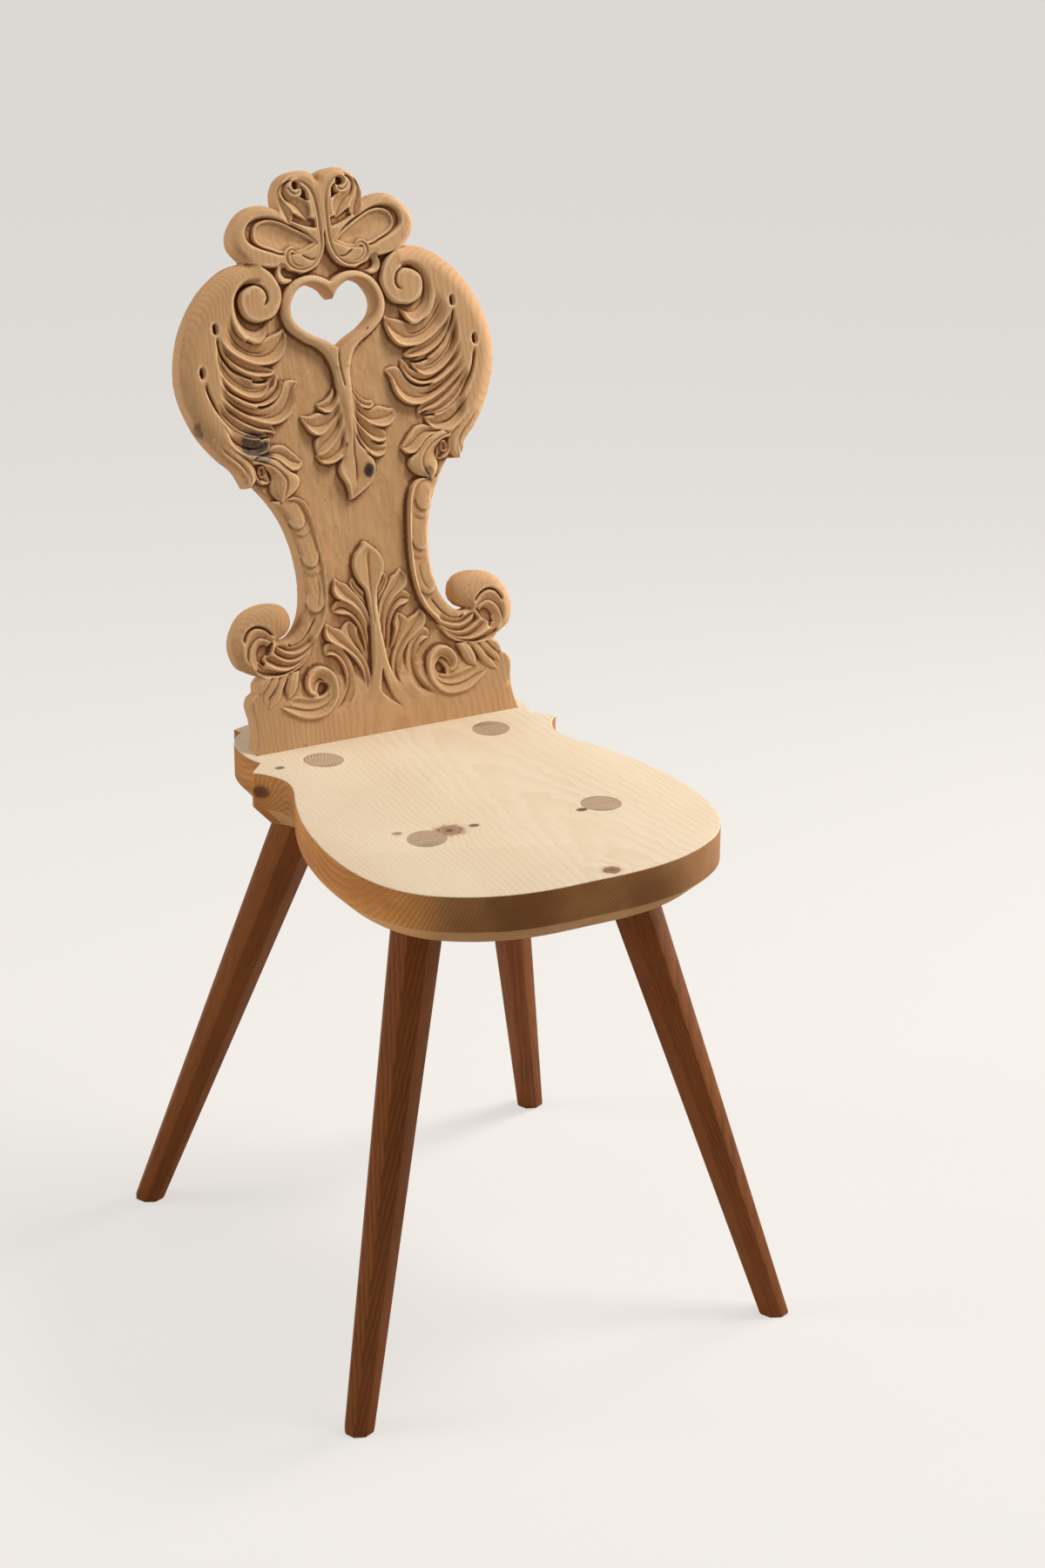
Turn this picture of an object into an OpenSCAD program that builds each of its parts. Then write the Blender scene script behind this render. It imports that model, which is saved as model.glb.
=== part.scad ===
// Carved wooden board chair: a thick shaped seat, a pierced and carved back board
// held by two keyed tenons, and four splayed legs with wedged round tenons.
// Millimetres. +Z is up, the front of the chair faces -Y.
// The origin is on the floor, under the middle of the chair.

/* [Seat] */
// Height of the seat's top face above the floor
seat_height = 445; // [380:5:520]
// Widest part of the seat, side to side
seat_width = 318; // [270:2:390]
// From the middle of the leg tenons to the front edge of the seat
seat_front = 225; // [190:5:280]
// From the middle of the leg tenons to the back edge of the seat
seat_rear = 206; // [185:1:240]
// Thickness of the seat board
seat_thick = 45; // [36:1:60]
// Height of the seat's upright edge, above its underside bevel
seat_edge = 30; // [20:1:34]
// How far the underside bevel comes in from the edge
seat_bevel = 15; // [5:1:20]

/* [Back board] */
// Height of the back board, measured along its slope
back_height = 471; // [390:1:570]
// Width across the two wings of the back board
back_width = 288; // [240:2:350]
// Width of the back board where it stands on the seat
base_width = 247; // [225:1:252]
// Full thickness of the back board
back_thick = 22; // [18:1:30]
// Backward lean of the back board, in degrees from upright
back_lean = 16; // [5:1:22]
// From the middle of the leg tenons to the front face of the back board, on the seat
back_place = 125; // [118:1:132]
// Depth of the sunk ground between the carved parts
ground_depth = 8; // [4:1:12]
// Depth of the plain base below the carved face
base_step = 2.5; // [1:0.5:3.5]
// Width of the heart-shaped hand hole
heart_width = 77; // [50:1:88]
// Width of the raised rim round the heart
heart_rim = 9; // [6:0.5:9]

/* [Back tenons and keys] */
// Width of each of the two tenons under the back board
tenon_width = 44; // [30:1:54]
// Distance between the middles of the two back tenons
tenon_spacing = 66; // [58:1:70]
// How far each back tenon comes out under the seat
tenon_reach = 34; // [32:1:50]
// Width of the key that locks each back tenon
key_width = 12; // [8:1:20]
// Length of each key
key_length = 74; // [60:1:90]
// Height of a key at its thick end
key_thick_end = 17; // [14:0.5:18]
// Height of a key at its thin end
key_thin_end = 10; // [6:0.5:12]

/* [Legs] */
// Half the side-to-side distance between the leg tenons at the seat's top face
tenon_x = 78; // [70:1:95]
// Half the front-to-back distance between the leg tenons at the seat's top face
tenon_y = 94; // [80:1:96]
// Half the side-to-side distance between the feet
foot_x = 193; // [140:1:230]
// From the middle of the chair's tenons to the middle of a front foot
foot_front = 197; // [150:1:240]
// From the middle of the chair's tenons to the middle of a rear foot
foot_rear = 231; // [170:1:270]
// Thickness of a leg just under the seat, across its flats
leg_top = 41; // [36:1:46]
// Thickness of a leg at the floor, across its flats
leg_foot = 23; // [18:1:32]
// Diameter of the round tenon on each leg
leg_tenon = 31; // [24:1:33]
// Thickness of the wedge in each leg tenon, at the seat's top face
wedge_top = 3; // [2:0.5:5]
// Depth of the wedge in each leg tenon
wedge_deep = 28; // [20:1:32]

/* [Hidden] */

$fn = 64;
// Working clearance all round a tenon in its hole
tenon_gap = 0.15;
// Clearance of a key in its slot and of a wedge in its cut
key_gap = 0.2;
wedge_gap = 0.1;
// Overlap that makes a cut run past the face it opens
past = 1;
// Straight pieces between two points of a curve
steps = 4;
// Colours
pale_wood = [0.90, 0.80, 0.63];
honey_wood = [0.80, 0.62, 0.43];
dark_wood = [0.50, 0.31, 0.17];
end_wood = [0.72, 0.62, 0.48];

seat_under = seat_height - seat_thick;
// The outlines below are drawn for these sizes and stretched to the ones above
drawn_seat_half = 159;
drawn_seat_front = 225;
drawn_seat_rear = 206;
drawn_back_half = 144;
drawn_back_height = 471;
drawn_base_half = 123.5;
drawn_heart_half = 38.5;

// The chair's middle, front to back, between the seat's front edge and the crest's back
crest_back = back_place + back_height * sin(back_lean) + back_thick * cos(back_lean);
middle_y = (crest_back - seat_front) / 2;

// ---------- curves ----------

// A point at share t of the smooth curve from p1 to p2, with neighbours p0 and p3
function curve_point(p0, p1, p2, p3, t) =
    0.5 * (2 * p1 + (p2 - p0) * t
        + (2 * p0 - 5 * p1 + 4 * p2 - p3) * t * t
        + (3 * p1 - p0 - 3 * p2 + p3) * t * t * t);

// A smooth curve through all of pts, without its last point
function curve(pts) =
    let (last = len(pts) - 1)
    [for (i = [0 : last - 1], s = [0 : steps - 1])
        curve_point(pts[max(i - 1, 0)], pts[i], pts[i + 1], pts[min(i + 2, last)], s / steps)];

// A half outline from the middle line to the middle line, closed by its mirror image
function both_sides(half) =
    concat(half, [for (i = [len(half) - 1 : -1 : 0]) if (half[i].x > 0.01) [-half[i].x, half[i].y]]);

// ---------- seat ----------

function seat_point(p) = [
    p.x * seat_width / (2 * drawn_seat_half),
    p.y < 0 ? p.y * seat_front / drawn_seat_front : p.y * seat_rear / drawn_seat_rear];

// Round front, hollow sides ending in a point, a lobe behind each point, a small tip at the back
seat_side = [[0, -225], [32, -225], [62, -221.5], [88, -214], [112, -202], [132, -186], [147, -163],
    [156, -133], [159, -100], [157.5, -65], [152, -28], [144, 2], [136, 25], [128, 45],
    [124.6, 62], [127.5, 76], [134, 88], [141.6, 96]];
seat_lobe = [[126.7, 112.7], [130.5, 126], [131.5, 142], [128.5, 161], [121, 176], [112, 184.5]];
seat_back_edge = [[114.5, 193], [95, 199], [60, 204], [0, 206]];

seat_outline = both_sides([for (p = concat(curve(seat_side), [[141.6, 96]],
    curve(seat_lobe), [[112, 184.5]], curve(seat_back_edge), [[0, 206]])) seat_point(p)]);

// The bevel comes in by its full width at the widest part and at the front
bevel_share_x = 1 - 2 * seat_bevel / seat_width;
bevel_share_y = 1 - seat_bevel / seat_front;

module seat_blank() {
    translate([0, 0, seat_under + seat_thick - seat_edge])
        linear_extrude(seat_edge) polygon(seat_outline);
    translate([0, 0, seat_under + seat_thick - seat_edge]) mirror([0, 0, 1])
        linear_extrude(seat_thick - seat_edge, slices = 1, scale = [bevel_share_x, bevel_share_y])
            polygon(seat_outline);
}

module seat() {
    color(pale_wood) translate([0, -middle_y, 0]) difference() {
        seat_blank();
        for (side = [-1, 1], end = [-1, 1]) leg_axis(side, end)
            translate([0, 0, -2 * seat_thick])
                cylinder(d = leg_tenon + 2 * tenon_gap, h = 3 * seat_thick);
        for (side = [-1, 1]) back_frame() back_tenon(side, tenon_gap);
    }
}

// ---------- back board ----------

// Local frame of the board: x to the side, y up the slope, z forwards from the back face
module back_frame() {
    translate([0, back_place, seat_height]) rotate([90 - back_lean, 0, 0])
        translate([0, 0, -back_thick]) children();
}

function back_point(p) = [
    p.x * (p.y < 52 ? base_width / (2 * drawn_base_half) : back_width / (2 * drawn_back_half)),
    p.y * back_height / drawn_back_height];

function back_points(pts) = [for (p = pts) back_point(p)];

// Outline of the right half, from the cleft at the top down to the foot
crest_curl = [[0, 462], [4, 468], [14, 471], [25, 469.5], [33, 464], [37.5, 456], [38.5, 448],
    [38, 441]];
crest_ear = [[38, 441], [47, 444.8], [57, 446.3], [67, 443], [76, 435], [82, 424], [81.5, 413],
    [73, 401.5]];
wing_tip = [98, 219];
wing_edge = [[73, 401.5], [90, 397.5], [108, 386], [123, 370], [135, 350], [142, 328], [144, 308],
    [140.5, 288], [131, 265], [117, 246], [105, 234], wing_tip];
waist_edge = [[89, 220], [77, 204], [68, 187], [62, 167], [59.5, 148], [59.5, 130], [63, 112], [70, 99],
    [79, 92], [89, 91.5]];
scroll_edge = [[89, 91.5], [79, 97], [74.5, 106], [78, 117], [88, 122.5], [103, 122.5], [117, 117],
    [127, 105], [131, 91], [127, 76], [118, 69], [108, 64]];
spray_edge = [[108, 64], [112.5, 59], [113.5, 52]];
foot_edge = [[113.5, 51.9], [119, 48], [121.5, 41], [119.5, 28], [120, 15], [123.5, 0]];

// The board goes on below the seat's top face before it is cut level with it
below_seat = -30;

back_half = concat(curve(crest_curl), curve(crest_ear), curve(wing_edge), [wing_tip],
    curve(waist_edge), curve(scroll_edge), curve(spray_edge), curve(foot_edge),
    [[drawn_base_half, 0], [drawn_base_half, below_seat], [0, below_seat]]);
back_outline = both_sides(back_points(back_half));

// Sunk field between the carved borders, right half from top to bottom
field_top = [[0, 392], [14, 387.5], [30, 388], [43, 385]];
field_wing = [[45.5, 372], [52, 358], [47, 336], [56, 318], [46, 301], [51, 279], [68, 265], [72, 250],
    [58, 236], [52, 216], [50, 200]];
field_waist = [[44, 186], [40.5, 165], [39, 145], [40, 124], [45, 106], [56, 90], [66, 80], [71, 66],
    [90, 62], [108, 60]];
field_half = concat(curve(field_top), curve(field_wing), curve(field_waist));
// Height at which the plain base ends and the sunk ground starts
plain_base_top = 50;

// Heart, right half from the cleft down to the point, for its hole and for the rim round it
heart_point_end = [0, 323.5];
heart_half = [[0, 364], [7, 373], [18, 378], [30, 375], [38, 363], [37, 350], [26, 339], [11, 331],
    heart_point_end];
heart_middle = 352;
drawn_heart_height = 31;
function heart_point(p, grow) =
    let (share = heart_width / (2 * drawn_heart_half))
    [p.x * (share + grow / drawn_heart_half),
        heart_middle + (p.y - heart_middle) * (share + grow / drawn_heart_height)];
function heart_outline(grow) =
    both_sides(back_points([for (p = concat(curve(heart_half), [heart_point_end])) heart_point(p, grow)]));

// Raised carving inside the field: stem and leaf under the heart, and the tall leaf at the foot
hanging_leaf = [[0, 330], [10, 312], [8, 292], [14, 280], [24, 274], [42, 266], [30, 255], [32, 246],
    [22, 243], [31, 234], [18, 232], [16, 221], [6, 207], [0, 199]];
standing_leaf = [[0, 162], [11, 152], [14, 138], [16, 131], [31, 133], [33, 122], [24, 114], [36, 108],
    [30, 99], [44, 95], [45, 84], [36, 80], [48, 76], [50, 66], [62, 64], [70, 52], [64, 41], [84, 42],
    [100, 38], [84, 27], [64, 22], [46, 22], [30, 20]];

// A back tenon is as thick as the board behind its stepped base
back_tenon_thick = back_thick - base_step;
// Rise of the board's back edge above its front edge where it is cut level
level_rise = back_thick * tan(back_lean);
// Length of a tenon down the slope, with enough to cut its end level
back_tenon_length = (seat_thick + tenon_reach + back_thick) / cos(back_lean);

module back_tenon(side, gap) {
    translate([side * tenon_spacing / 2 - tenon_width / 2 - gap, -back_tenon_length, -gap])
        cube([tenon_width + 2 * gap, back_tenon_length + level_rise + past,
            back_tenon_thick + 2 * gap]);
}

module raised_plate(step) {
    translate([0, 0, back_thick - ground_depth - past])
        linear_extrude(ground_depth + past - step) children();
}

module carved_field() {
    polygon(both_sides(back_points(concat(field_half,
        [[drawn_back_half + past, 60], [drawn_back_half + past, below_seat], [0, below_seat]]))));
}

module board_solid() {
    // The board up to the level of the sunk ground
    linear_extrude(back_thick - ground_depth) polygon(back_outline);
    // The carved borders, the wings and the crest
    raised_plate(0) difference() {
        polygon(back_outline);
        carved_field();
    }
    // The plain base
    raised_plate(base_step) intersection() {
        polygon(back_outline);
        translate([-back_width, below_seat]) square([2 * back_width, plain_base_top - below_seat]);
    }
    // The rim of the heart, the leaf that hangs from it, and the leaf that stands on the base
    raised_plate(0) {
        polygon(heart_outline(heart_rim));
        polygon(both_sides(back_points(hanging_leaf)));
        polygon(both_sides(back_points(standing_leaf)));
    }
}

// The slab of space between two heights, wide enough for any piece
module between(low, high) {
    translate([-3 * back_width, -3 * back_width, low])
        cube([6 * back_width, 6 * back_width, high - low]);
}

module back_board() {
    color(honey_wood) translate([0, -middle_y, 0]) {
        intersection() {
            back_frame() difference() {
                board_solid();
                translate([0, 0, -past]) linear_extrude(back_thick + 2 * past)
                    polygon(heart_outline(0));
            }
            between(seat_height, seat_height + 2 * back_height);
        }
        for (side = [-1, 1]) difference() {
            intersection() {
                back_frame() back_tenon(side, 0);
                between(seat_under - tenon_reach, seat_height + level_rise);
            }
            key_shape(side, key_gap);
        }
    }
}

// ---------- keys ----------

// Middle of a back tenon, front to back, at the seat's underside
key_y = back_place - seat_thick * tan(back_lean) + (back_thick + base_step) / (2 * cos(back_lean));

// A key lies along the seat's underside with its thin end forwards. It bears on the seat
// above and on the foot of its slot below, so the gap is only at its sides and over its slot.
module key_shape(side, gap) {
    half = key_length / 2;
    translate([side * tenon_spacing / 2 - key_width / 2 - gap, key_y, seat_under])
        rotate([90, 0, 90]) linear_extrude(key_width + 2 * gap) polygon([
            [-half, gap], [half, gap], [half, -key_thick_end], [-half, -key_thin_end]]);
}

module key_piece(side) {
    color(pale_wood) translate([0, -middle_y, 0]) key_shape(side, 0);
}

// ---------- legs ----------

// Where a leg's line meets the seat's top face, and where it meets the floor
function leg_head(side, end) = [side * tenon_x, end * tenon_y, seat_height];
function leg_floor(side, end) = [side * foot_x, end > 0 ? foot_rear : -foot_front, 0];
function leg_run(side, end) = leg_head(side, end) - leg_floor(side, end);

// Puts its children on a leg's line: z runs up the leg, with 0 at the seat's top face
module leg_axis(side, end) {
    run = leg_run(side, end);
    turn = atan2(run.y, run.x);
    tilt = acos(run.z / norm(run));
    translate(leg_head(side, end)) rotate([0, tilt, turn]) rotate([0, 0, -turn]) children();
}

// A wedge runs side to side, thick at the seat's top face and thin at its lower end
wedge_foot = 0.8;
module wedge_shape(gap) {
    top = wedge_top / 2 + gap;
    slope = (wedge_top - wedge_foot) / 2 / wedge_deep;
    foot = wedge_foot / 2 + gap;
    rotate([90, 0, 90]) linear_extrude(2 * leg_tenon, center = true) polygon([
        [-top - slope * leg_tenon, leg_tenon], [top + slope * leg_tenon, leg_tenon],
        [foot, -wedge_deep - gap], [-foot, -wedge_deep - gap]]);
}

module leg(side, end) {
    length = norm(leg_run(side, end));
    body = length * seat_under / seat_height;
    spare = leg_top;
    // Radius to the corners of the eight-sided leg, at a height up the leg's line
    per_mm = (leg_top - leg_foot) / body;
    corner_share = 1 / (2 * cos(22.5));
    color(dark_wood) translate([0, -middle_y, 0]) difference() {
        union() {
            intersection() {
                leg_axis(side, end) translate([0, 0, -length - spare]) cylinder(
                    h = body + 2 * spare, r1 = (leg_foot - per_mm * spare) * corner_share,
                    r2 = (leg_top + per_mm * spare) * corner_share, $fn = 8);
                between(0, seat_under);
            }
            intersection() {
                leg_axis(side, end) translate([0, 0, body - length - spare / 2])
                    cylinder(d = leg_tenon, h = length - body + spare);
                between(seat_under - spare, seat_height);
            }
        }
        leg_axis(side, end) wedge_shape(wedge_gap);
    }
}

module wedge(side, end) {
    color(end_wood) translate([0, -middle_y, 0]) intersection() {
        leg_axis(side, end) intersection() {
            wedge_shape(0);
            translate([0, 0, -2 * wedge_deep]) cylinder(d = leg_tenon, h = 3 * wedge_deep);
        }
        between(0, seat_height);
    }
}

seat();
back_board();
key_piece(-1);  // key_left
key_piece(1);  // key_right
leg(-1, -1);  // leg_front_left
leg(1, -1);  // leg_front_right
leg(-1, 1);  // leg_rear_left
leg(1, 1);  // leg_rear_right
wedge(-1, -1);  // wedge_front_left
wedge(1, -1);  // wedge_front_right
wedge(-1, 1);  // wedge_rear_left
wedge(1, 1);  // wedge_rear_right
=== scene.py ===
"""Carved wooden board chair: looks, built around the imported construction.

Lengths in the carving are in millimetres on the back board's own face: u runs across it from
the middle line, v runs up its slope from the seat, and a height is measured forwards from the
board's flat back. Everything else is in metres, in the frame's own axes.
"""

import math
from contextlib import contextmanager

import bmesh
import bpy
import numpy as np
from mathutils import Matrix, Vector


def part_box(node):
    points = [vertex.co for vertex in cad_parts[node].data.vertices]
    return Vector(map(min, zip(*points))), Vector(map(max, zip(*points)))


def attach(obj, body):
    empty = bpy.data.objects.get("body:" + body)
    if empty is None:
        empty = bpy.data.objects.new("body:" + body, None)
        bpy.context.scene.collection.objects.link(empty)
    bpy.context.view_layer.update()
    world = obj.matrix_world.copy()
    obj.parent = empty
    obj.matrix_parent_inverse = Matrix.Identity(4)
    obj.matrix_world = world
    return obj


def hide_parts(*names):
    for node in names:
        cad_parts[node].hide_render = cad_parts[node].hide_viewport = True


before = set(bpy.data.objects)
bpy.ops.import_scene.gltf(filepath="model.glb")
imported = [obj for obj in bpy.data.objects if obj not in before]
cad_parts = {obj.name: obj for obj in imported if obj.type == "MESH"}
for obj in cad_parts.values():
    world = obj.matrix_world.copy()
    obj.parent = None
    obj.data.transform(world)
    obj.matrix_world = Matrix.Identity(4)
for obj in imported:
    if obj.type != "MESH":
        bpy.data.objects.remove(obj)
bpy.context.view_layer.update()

MM = 0.001

# ---------- driving dimensions, the same as the construction's ----------

SEAT_TOP, SEAT_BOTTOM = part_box("seat")[1].z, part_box("seat")[0].z
SEAT_EDGE = 0.030
TENON_MIDDLE_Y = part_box("seat")[0].y + 0.225
LEG_TENON_X, LEG_TENON_Y = 0.078, 0.094
BOARD_Y = 0.125 + TENON_MIDDLE_Y
LEAN = math.radians(16)

# ---------- height map of the back board's face ----------

# One cell's width, cells to a step of the mesh, and points to a millimetre of a curve
CELL, MESH_STRIDE, DENSE = 0.3, 2, 6.0
HALF_W, LOW, HIGH = 150.0, -3.0, 474.0
# Heights of the uncarved face, of the sunk ground and of the plain base
FACE, GROUND, BASE_FACE = 22.0, 14.0, 19.5
U = np.arange(-HALF_W, HALF_W + CELL / 2, CELL)
V = np.arange(LOW, HIGH + CELL / 2, CELL)
relief = np.full((len(V), len(U)), GROUND)
BOTH, RIGHT = (1, -1), (1,)


def run_length(p):
    return float(np.linalg.norm(np.diff(p, axis=0), axis=1).sum())


def even(p, n):
    """n points spaced evenly along a line of points."""
    run = np.concatenate([[0], np.cumsum(np.linalg.norm(np.diff(p, axis=0), axis=1))])
    at = np.linspace(0, run[-1], n)
    return np.column_stack([np.interp(at, run, p[:, k]) for k in range(p.shape[1])])


def smooth(points):
    """A smooth curve through the points, evenly spaced."""
    p = np.asarray(points, float)
    if len(p) > 2:
        ends = np.vstack([2 * p[0] - p[1], p, 2 * p[-1] - p[-2]])
        out = []
        for k in range(len(p) - 1):
            a, b, c, d = ends[k:k + 4]
            t = np.linspace(0, 1, 24, endpoint=False)[:, None]
            out.append(0.5 * (2 * b + (c - a) * t + (2 * a - 5 * b + 4 * c - d) * t ** 2
                              + (3 * b - a - 3 * c + d) * t ** 3))
        p = np.vstack(out + [p[-1:]])
    return even(p, max(8, int(run_length(p) * DENSE)))


def ramp(x, low, high):
    """0 up to low, 1 from high on, and smooth between them."""
    t = np.clip((x - low) / (high - low), 0, 1)
    return t * t * (3 - 2 * t)


def eased(far, reach):
    """1 at an edge, falling in a curve to 0 at that distance from it."""
    return np.clip(1 - far / reach, 0, 1) ** 2


def line_at(s, at, half):
    """1 on the line s = at, falling to 0 at half the width either side."""
    return np.clip(1 - np.abs(s - at) / half, 0, 1)


def cells(u, v):
    """The row and column of the height map's cell at each (u, v)."""
    col = np.clip(np.rint((u - U[0]) / CELL).astype(int), 0, len(U) - 1).ravel()
    row = np.clip(np.rint((v - V[0]) / CELL).astype(int), 0, len(V) - 1).ravel()
    return row, col


def press(u, v, h, share, sides):
    """Brings the height map to h at each (u, v), by share of the way, on each side."""
    share = np.broadcast_to(share, h.shape).ravel()
    for side in sides:
        row, col = cells(side * u, v)
        old = relief[row, col]
        relief[row, col] = old + (h.ravel() - old) * share


def sheet(low_edge, high_edge, section, share=None, sides=BOTH):
    """Carves the strip between two edges. section(across, along) is its height."""
    a, b = smooth(low_edge), smooth(high_edge)
    n = int(max(run_length(a), run_length(b)) * DENSE) + 8
    a, b = even(a, n), even(b, n)
    strip(a, b, section, share, sides)


def strip(a, b, section, share, sides):
    """Carves the strip between two edges of as many points each."""
    m = int(np.linalg.norm(a - b, axis=1).max() * DENSE) + 6
    s, t = np.meshgrid(np.linspace(0, 1, m), np.linspace(0, 1, len(a)))
    uv = a[:, None] * (1 - s[..., None]) + b[:, None] * s[..., None]
    press(uv[..., 0], uv[..., 1], section(s, t), 1.0 if share is None else share(s, t), sides)


def offsets(path):
    """The path's points and the unit vectors to its left."""
    p = smooth(path)
    d = np.gradient(p, axis=0)
    d /= np.linalg.norm(d, axis=1)[:, None] + 1e-9
    return p, np.column_stack([-d[:, 1], d[:, 0]])


def band(path, widths, section, share=None, sides=BOTH, round_end=0.0):
    """A strip of changing width along a path, with a round end over its last round_end mm."""
    p, left = offsets(path)
    t = np.linspace(0, 1, len(p))
    w = np.interp(t, np.linspace(0, 1, len(widths)), widths)
    if round_end:
        past = np.clip((t - 1) * run_length(p) / round_end + 1, 0, 1)
        w = w * np.sqrt(1 - past ** 2)
    off = left * w[:, None] / 2
    strip(p - off, p + off, section, share, sides)


def groove(path, width, depth, taper=0.15, sides=BOTH):
    """A V cut along a path, shallow at both ends."""
    p, left = offsets(path)
    s, t = np.meshgrid(np.linspace(-1, 1, int(width * DENSE) + 4), np.linspace(0, 1, len(p)))
    uv = p[:, None] + left[:, None] * (s[..., None] * width / 2)
    cut = depth * (1 - np.abs(s)) * ramp(t, 0, taper) * ramp(1 - t, 0, taper)
    deepest = np.zeros_like(relief)
    for side in sides:
        np.maximum.at(deepest, cells(side * uv[..., 0], uv[..., 1]), cut.ravel())
    np.subtract(relief, deepest, out=relief)


def drill(u, v, half_u, half_v, floor, sides=BOTH):
    """A round-bottomed hole."""
    angle, reach = np.meshgrid(np.linspace(0, 2 * np.pi, 120), np.linspace(0, 1, 30))
    uu, vv = u + half_u * reach * np.cos(angle), v + half_v * reach * np.sin(angle)
    press(uu, vv, floor + 10.0 * ramp(reach, 0.78, 1.1), 1.0, sides)


def chain(*parts):
    """Smooth curves one after another."""
    return np.vstack([smooth(p) for p in parts])


def mirrored(half):
    """A closed outline from its right half."""
    half = np.asarray(half, float)
    return np.vstack([half, (half * (-1, 1))[::-1]])


def inside(outline):
    """Which cells of the height map lie inside a closed outline."""
    p = np.asarray(outline, float)
    q = np.roll(p, -1, axis=0)
    mask = np.zeros(relief.shape, bool)
    for r, v in enumerate(V):
        hit = (p[:, 1] > v) != (q[:, 1] > v)
        if hit.any():
            a, b = p[hit], q[hit]
            x = np.sort(a[:, 0] + (v - a[:, 1]) / (b[:, 1] - a[:, 1]) * (b[:, 0] - a[:, 0]))
            for x0, x1 in zip(x[::2], x[1::2]):
                mask[r, (U >= x0) & (U <= x1)] = True
    return mask


def distance(edge, reach):
    """Distance of each cell from a line of points, up to reach."""
    edge = np.asarray(edge, float)
    far = np.full(relief.shape, float(reach))
    n = int(reach / CELL) + 1
    for u, v in even(edge, int(run_length(edge) / 0.8) + 2):
        c, r = int((u - U[0]) / CELL), int((v - V[0]) / CELL)
        c0, c1, r0, r1 = max(c - n, 0), min(c + n, len(U)), max(r - n, 0), min(r + n, len(V))
        d = np.hypot(U[None, c0:c1] - u, V[r0:r1, None] - v)
        np.minimum(far[r0:r1, c0:c1], d, out=far[r0:r1, c0:c1])
    return far


def fill(outline, height, edge=None, reach=5.0, sides=BOTH):
    """Carves a closed area. height(distance from the edge) is its height."""
    area = inside(outline)
    heights = height(distance(outline if edge is None else edge, reach)) + 0 * relief
    for side in sides:
        if side < 0:
            area, heights = area[:, ::-1], heights[:, ::-1]
        relief[area] = heights[area]


def blur(field, radius):
    """Softens a field by a bell curve of that radius in mm."""
    reach = int(3 * radius / CELL) + 1
    k = np.exp(-0.5 * (np.arange(-reach, reach + 1) * CELL / radius) ** 2)
    k /= k.sum()
    wide = np.pad(field, ((reach, reach), (0, 0)), mode="edge")
    out = sum(k[i] * wide[i:i + field.shape[0]] for i in range(len(k)))
    wide = np.pad(out, ((0, 0), (reach, reach)), mode="edge")
    return sum(k[i] * wide[:, i:i + field.shape[1]] for i in range(len(k)))


# ---------- cross sections: s runs 0..1 from the first edge to the second, t 0..1 along ----------

def scoop(top=21.8, drop=5.5, vein=0.5, rise=2.0, vein_depth=0.9):
    """A leaf lobe: high at its outer edge, falling to its vein, then rising under the next lobe."""
    def section(s, t):
        fall = np.sin(np.clip(s / vein, 0, 1) * np.pi / 2)
        climb = np.clip((s - vein) / (1 - vein), 0, 1) ** 1.3
        return top - drop * fall + rise * climb - vein_depth * line_at(s, vein, 0.07) * ramp(1 - t, 0, 0.2)
    return section


def crown(top, fall):
    """Rounded over from edge to edge."""
    return lambda s, t: top - fall * (2 * s - 1) ** 2


def gutter(top, hollow, lip):
    """Two raised lips with a hollow between them."""
    def section(s, t):
        e = np.minimum(s, 1 - s)
        return top - hollow * ramp(e, lip * 0.6, 0.5) - 0.9 * (1 - ramp(e, 0, lip))
    return section


def slope(first, last, lip=1.0):
    """Falls evenly from the first edge to the second, with the first edge eased."""
    return lambda s, t: first + (last - first) * s - lip * (1 - ramp(s, 0, 0.12))


def level(height):
    """Flat at one height."""
    return lambda s, t: height + 0 * s


def fades(start=0.7, end=1.0):
    """Blends into what is already there towards the end of a strip."""
    return lambda s, t: 1 - ramp(t, start, end)


def fades_in(end=0.15):
    """Grows out of what is already there at the start of a strip."""
    return lambda s, t: ramp(t, 0, end)


def leaves(table, top, drop, share, sides=BOTH):
    """Leaf lobes from rows of a lower edge, an upper edge and the vein's place across."""
    for low_edge, high_edge, vein in table:
        sheet(low_edge, high_edge, scoop(top, drop, vein), share, sides)


# ---------- outlines of the right half ----------

CREST_CURL = [(0, 462), (4, 468), (14, 471), (25, 469.5), (33, 464), (37.5, 456), (38.5, 448),
              (38, 441)]
CREST_EAR = [(38, 441), (47, 444.8), (57, 446.3), (67, 443), (76, 435), (82, 424), (81.5, 413),
             (73, 401.5)]
WING_EDGE = [(73, 401.5), (90, 397.5), (108, 386), (123, 370), (135, 350), (142, 328), (144, 308),
             (140.5, 288), (131, 265), (117, 246), (105, 234), (98, 219)]
WAIST_EDGE = [(89, 220), (77, 204), (68, 187), (62, 167), (59.5, 148), (59.5, 130), (63, 112),
              (70, 99), (79, 92), (89, 91.5)]
SCROLL_EDGE = [(89, 91.5), (79, 97), (74.5, 106), (78, 117), (88, 122.5), (103, 122.5), (117, 117),
               (127, 105), (131, 91), (127, 76), (118, 69), (108, 64)]
SPRAY_EDGE = [(108, 64), (112.5, 59), (113.5, 52)]
FOOT_EDGE = [(113.5, 51.9), (119, 48), (121.5, 41), (119.5, 28), (120, 15), (123.5, 0)]
HEART_HALF = [(0, 364), (7, 373), (18, 378), (30, 375), (38, 363), (37, 350), (26, 339), (11, 331),
              (0, 323.5)]
BOARD_HALF = np.vstack([chain(CREST_CURL, CREST_EAR, WING_EDGE, WAIST_EDGE, SCROLL_EDGE, SPRAY_EDGE,
                              FOOT_EDGE), [(123.5, -30), (0, -30)]])
HEART = mirrored(smooth(HEART_HALF))

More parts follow.
